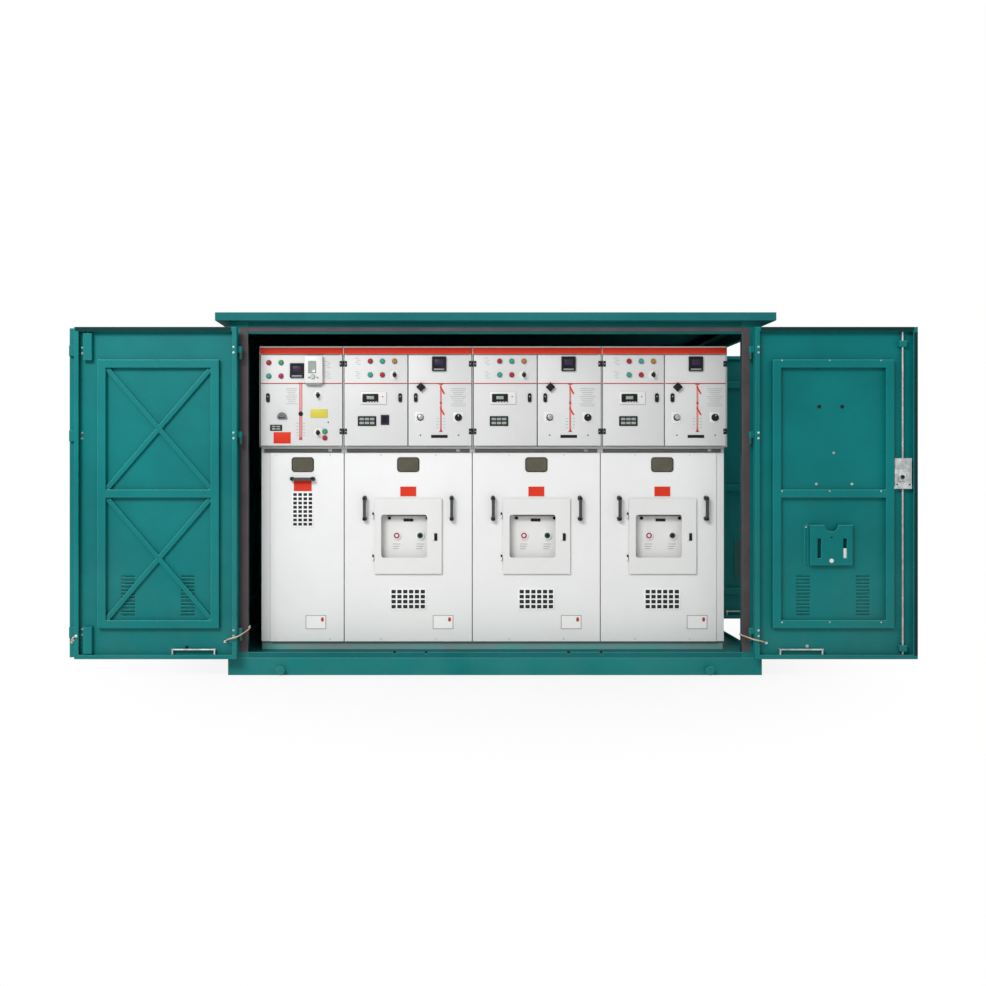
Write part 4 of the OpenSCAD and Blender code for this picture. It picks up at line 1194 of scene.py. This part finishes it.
def lock_slab(across, up, back, front, edge):
    """A part of the lock case between two places across it, two up it, and out from the lip."""
    return slab((lock_x + across[0], lip_y - front, leaf_z + up[0]),
                (lock_x + across[1], lip_y + back, leaf_z + up[1]), zinc, edge)


lock_x = leaf_x + 0.775
case_y = lip_y + 0.0050
case = [lock_slab((0.004, 0.090), (1.060, 1.110), 0.0050, -0.0010, 0.0015),
        lock_slab((0.018, 0.058), (0.985, 1.035), 0.0050, 0.0040, 0.0035),
        disc((lock_x + 0.038, lip_y - 0.0040, leaf_z + 1.010), 0.011, 0.004, [(0.8, 0.001), (0.5, -0.003)],
             black),
        lock_slab((-0.006, 0.094), (0.944, 0.958), 0.0050, -0.0020, 0.001)]
for across, up in ((0.012, 1.100), (0.082, 1.100), (0.012, 0.968), (0.082, 0.968)):
    case.append(disc((lock_x + across, case_y, leaf_z + up), 0.004, 0.003, [(0.7, 0.0005)], black, 12))
join("lock_case_face", case, "right_door")


# ---- dust nets ----------------------------------------------------------------------------
# Fine dark wire cloth fixed inside the side and rear leaves over each column of louvres. On
# the open side leaf it lies in a folded rim.
net, tree, shader = new_finish("wire_cloth", (0.012, 0.040, 0.040), 0.7)
place = put(tree, "TexCoord")
weave = put(tree, "TexVoronoi", {"distance": "CHEBYCHEV"}, Scale=260.0, Randomness=0.0)
wire(tree, place, "Object", weave, "Vector")
cloth = blend_colours(tree, weave.outputs["Distance"], (0.004, 0.040, 0.040), (0.010, 0.130, 0.126))
tree.links.new(cloth, shader.inputs["Base Color"])
net_z = (0.336, 0.588)
open_side = []
for share in (0.21, 0.79):
    x = 1.564 + share * 1.248
    open_side.append(sunk(slab((x - 0.055, 0.6255, 0.378), (x + 0.055, 0.6290, 0.660), green, 0.001),
                          6, 0.8, net))
join("side_door_nets", open_side, "side_door")
closed_side = []
for share in (0.31, 0.68):
    y = -0.629 + share * 1.258
    closed_side.append(slab((-1.5460, y - 0.050, net_z[0]), (-1.5430, y + 0.050, net_z[1]), net, 0.001))
join("left_side_nets", closed_side)
rear = [slab((x - 0.045, 0.7435, net_z[0]), (x + 0.045, 0.7465, net_z[1]), net, 0.001)
        for x in (-1.131, -0.798, -0.188, 0.178, 0.798, 1.131)]
join("rear_nets", rear)


# ---- floor, air and lamps -----------------------------------------------------------------
# A wide pale floor that keeps a soft contact shadow, an even pale air all round, one large
# soft lamp high on the left, and a weaker one behind on the right.
def seen_itself(tree):
    """1 for rays that see a surface itself, straight, in a mirror or through glass; 0 for light."""
    path = put(tree, "LightPath")
    mask = path.outputs["Is Camera Ray"]
    for kind in ("Is Glossy Ray", "Is Transmission Ray"):
        either = put(tree, "Math", {"operation": "MAXIMUM"})
        tree.links.new(mask, either.inputs[0])
        wire(tree, path, kind, either, 1)
        mask = either.outputs[0]
    return mask


def soft_lamp(name, place, width, height, power):
    """A broad lamp that looks at the middle of the kiosk."""
    toward = Vector((0, 0, 0.9)) - Vector(place)
    bpy.ops.object.select_all(action="DESELECT")
    bpy.ops.object.light_add(type="AREA", location=place, rotation=toward.to_track_quat("-Z", "Y").to_euler())
    made = bpy.context.object
    made.name = name
    made.data.shape = "RECTANGLE"
    made.data.size = width
    made.data.size_y = height
    made.data.energy = power
    return made


bpy.ops.object.select_all(action="DESELECT")
bpy.ops.mesh.primitive_plane_add(size=80, location=(0, 0, 0))
ground = bpy.context.object
ground.name = "floor"
floor_look, tree, shader = new_finish("floor", (0.82, 0.82, 0.82), 0.9, specular=0.1)
place = put(tree, "TexCoord")
distance = put(tree, "VectorMath", {"operation": "LENGTH"})
fade = put(tree, "MapRange", {"interpolation_type": "SMOOTHSTEP"}, From_Min=1.0, From_Max=2.6, To_Min=0.80)
glowing = put(tree, "Math", {"operation": "MULTIPLY"})
glow = put(tree, "Emission", Strength=1.0)
mixed = put(tree, "MixShader")
wire(tree, place, "Object", distance, 0)
wire(tree, distance, "Value", fade, "Value")
wire(tree, fade, 0, glowing, 0)
tree.links.new(seen_itself(tree), glowing.inputs[1])
wire(tree, glowing, 0, mixed, "Fac")
wire(tree, shader, 0, mixed, 1)
wire(tree, glow, 0, mixed, 2)
tree.links.new(mixed.outputs[0], tree.nodes["Material Output"].inputs["Surface"])
ground.data.materials.append(floor_look)

world = bpy.data.worlds.new("air")
scene.world = world
world.use_nodes = True
tree = world.node_tree
level = put(tree, "MapRange", To_Min=0.60)
tree.links.new(seen_itself(tree), level.inputs["Value"])
tree.links.new(level.outputs[0], tree.nodes["Background"].inputs["Strength"])
tree.nodes["Background"].inputs["Color"].default_value = (1, 1, 1, 1)

lamp_object = soft_lamp("key_lamp", (-3.2, -6.6, 4.9), 3, 2, 390)
back_lamp = soft_lamp("back_lamp", (3.4, 7.2, 4.6), 3, 3, 240)
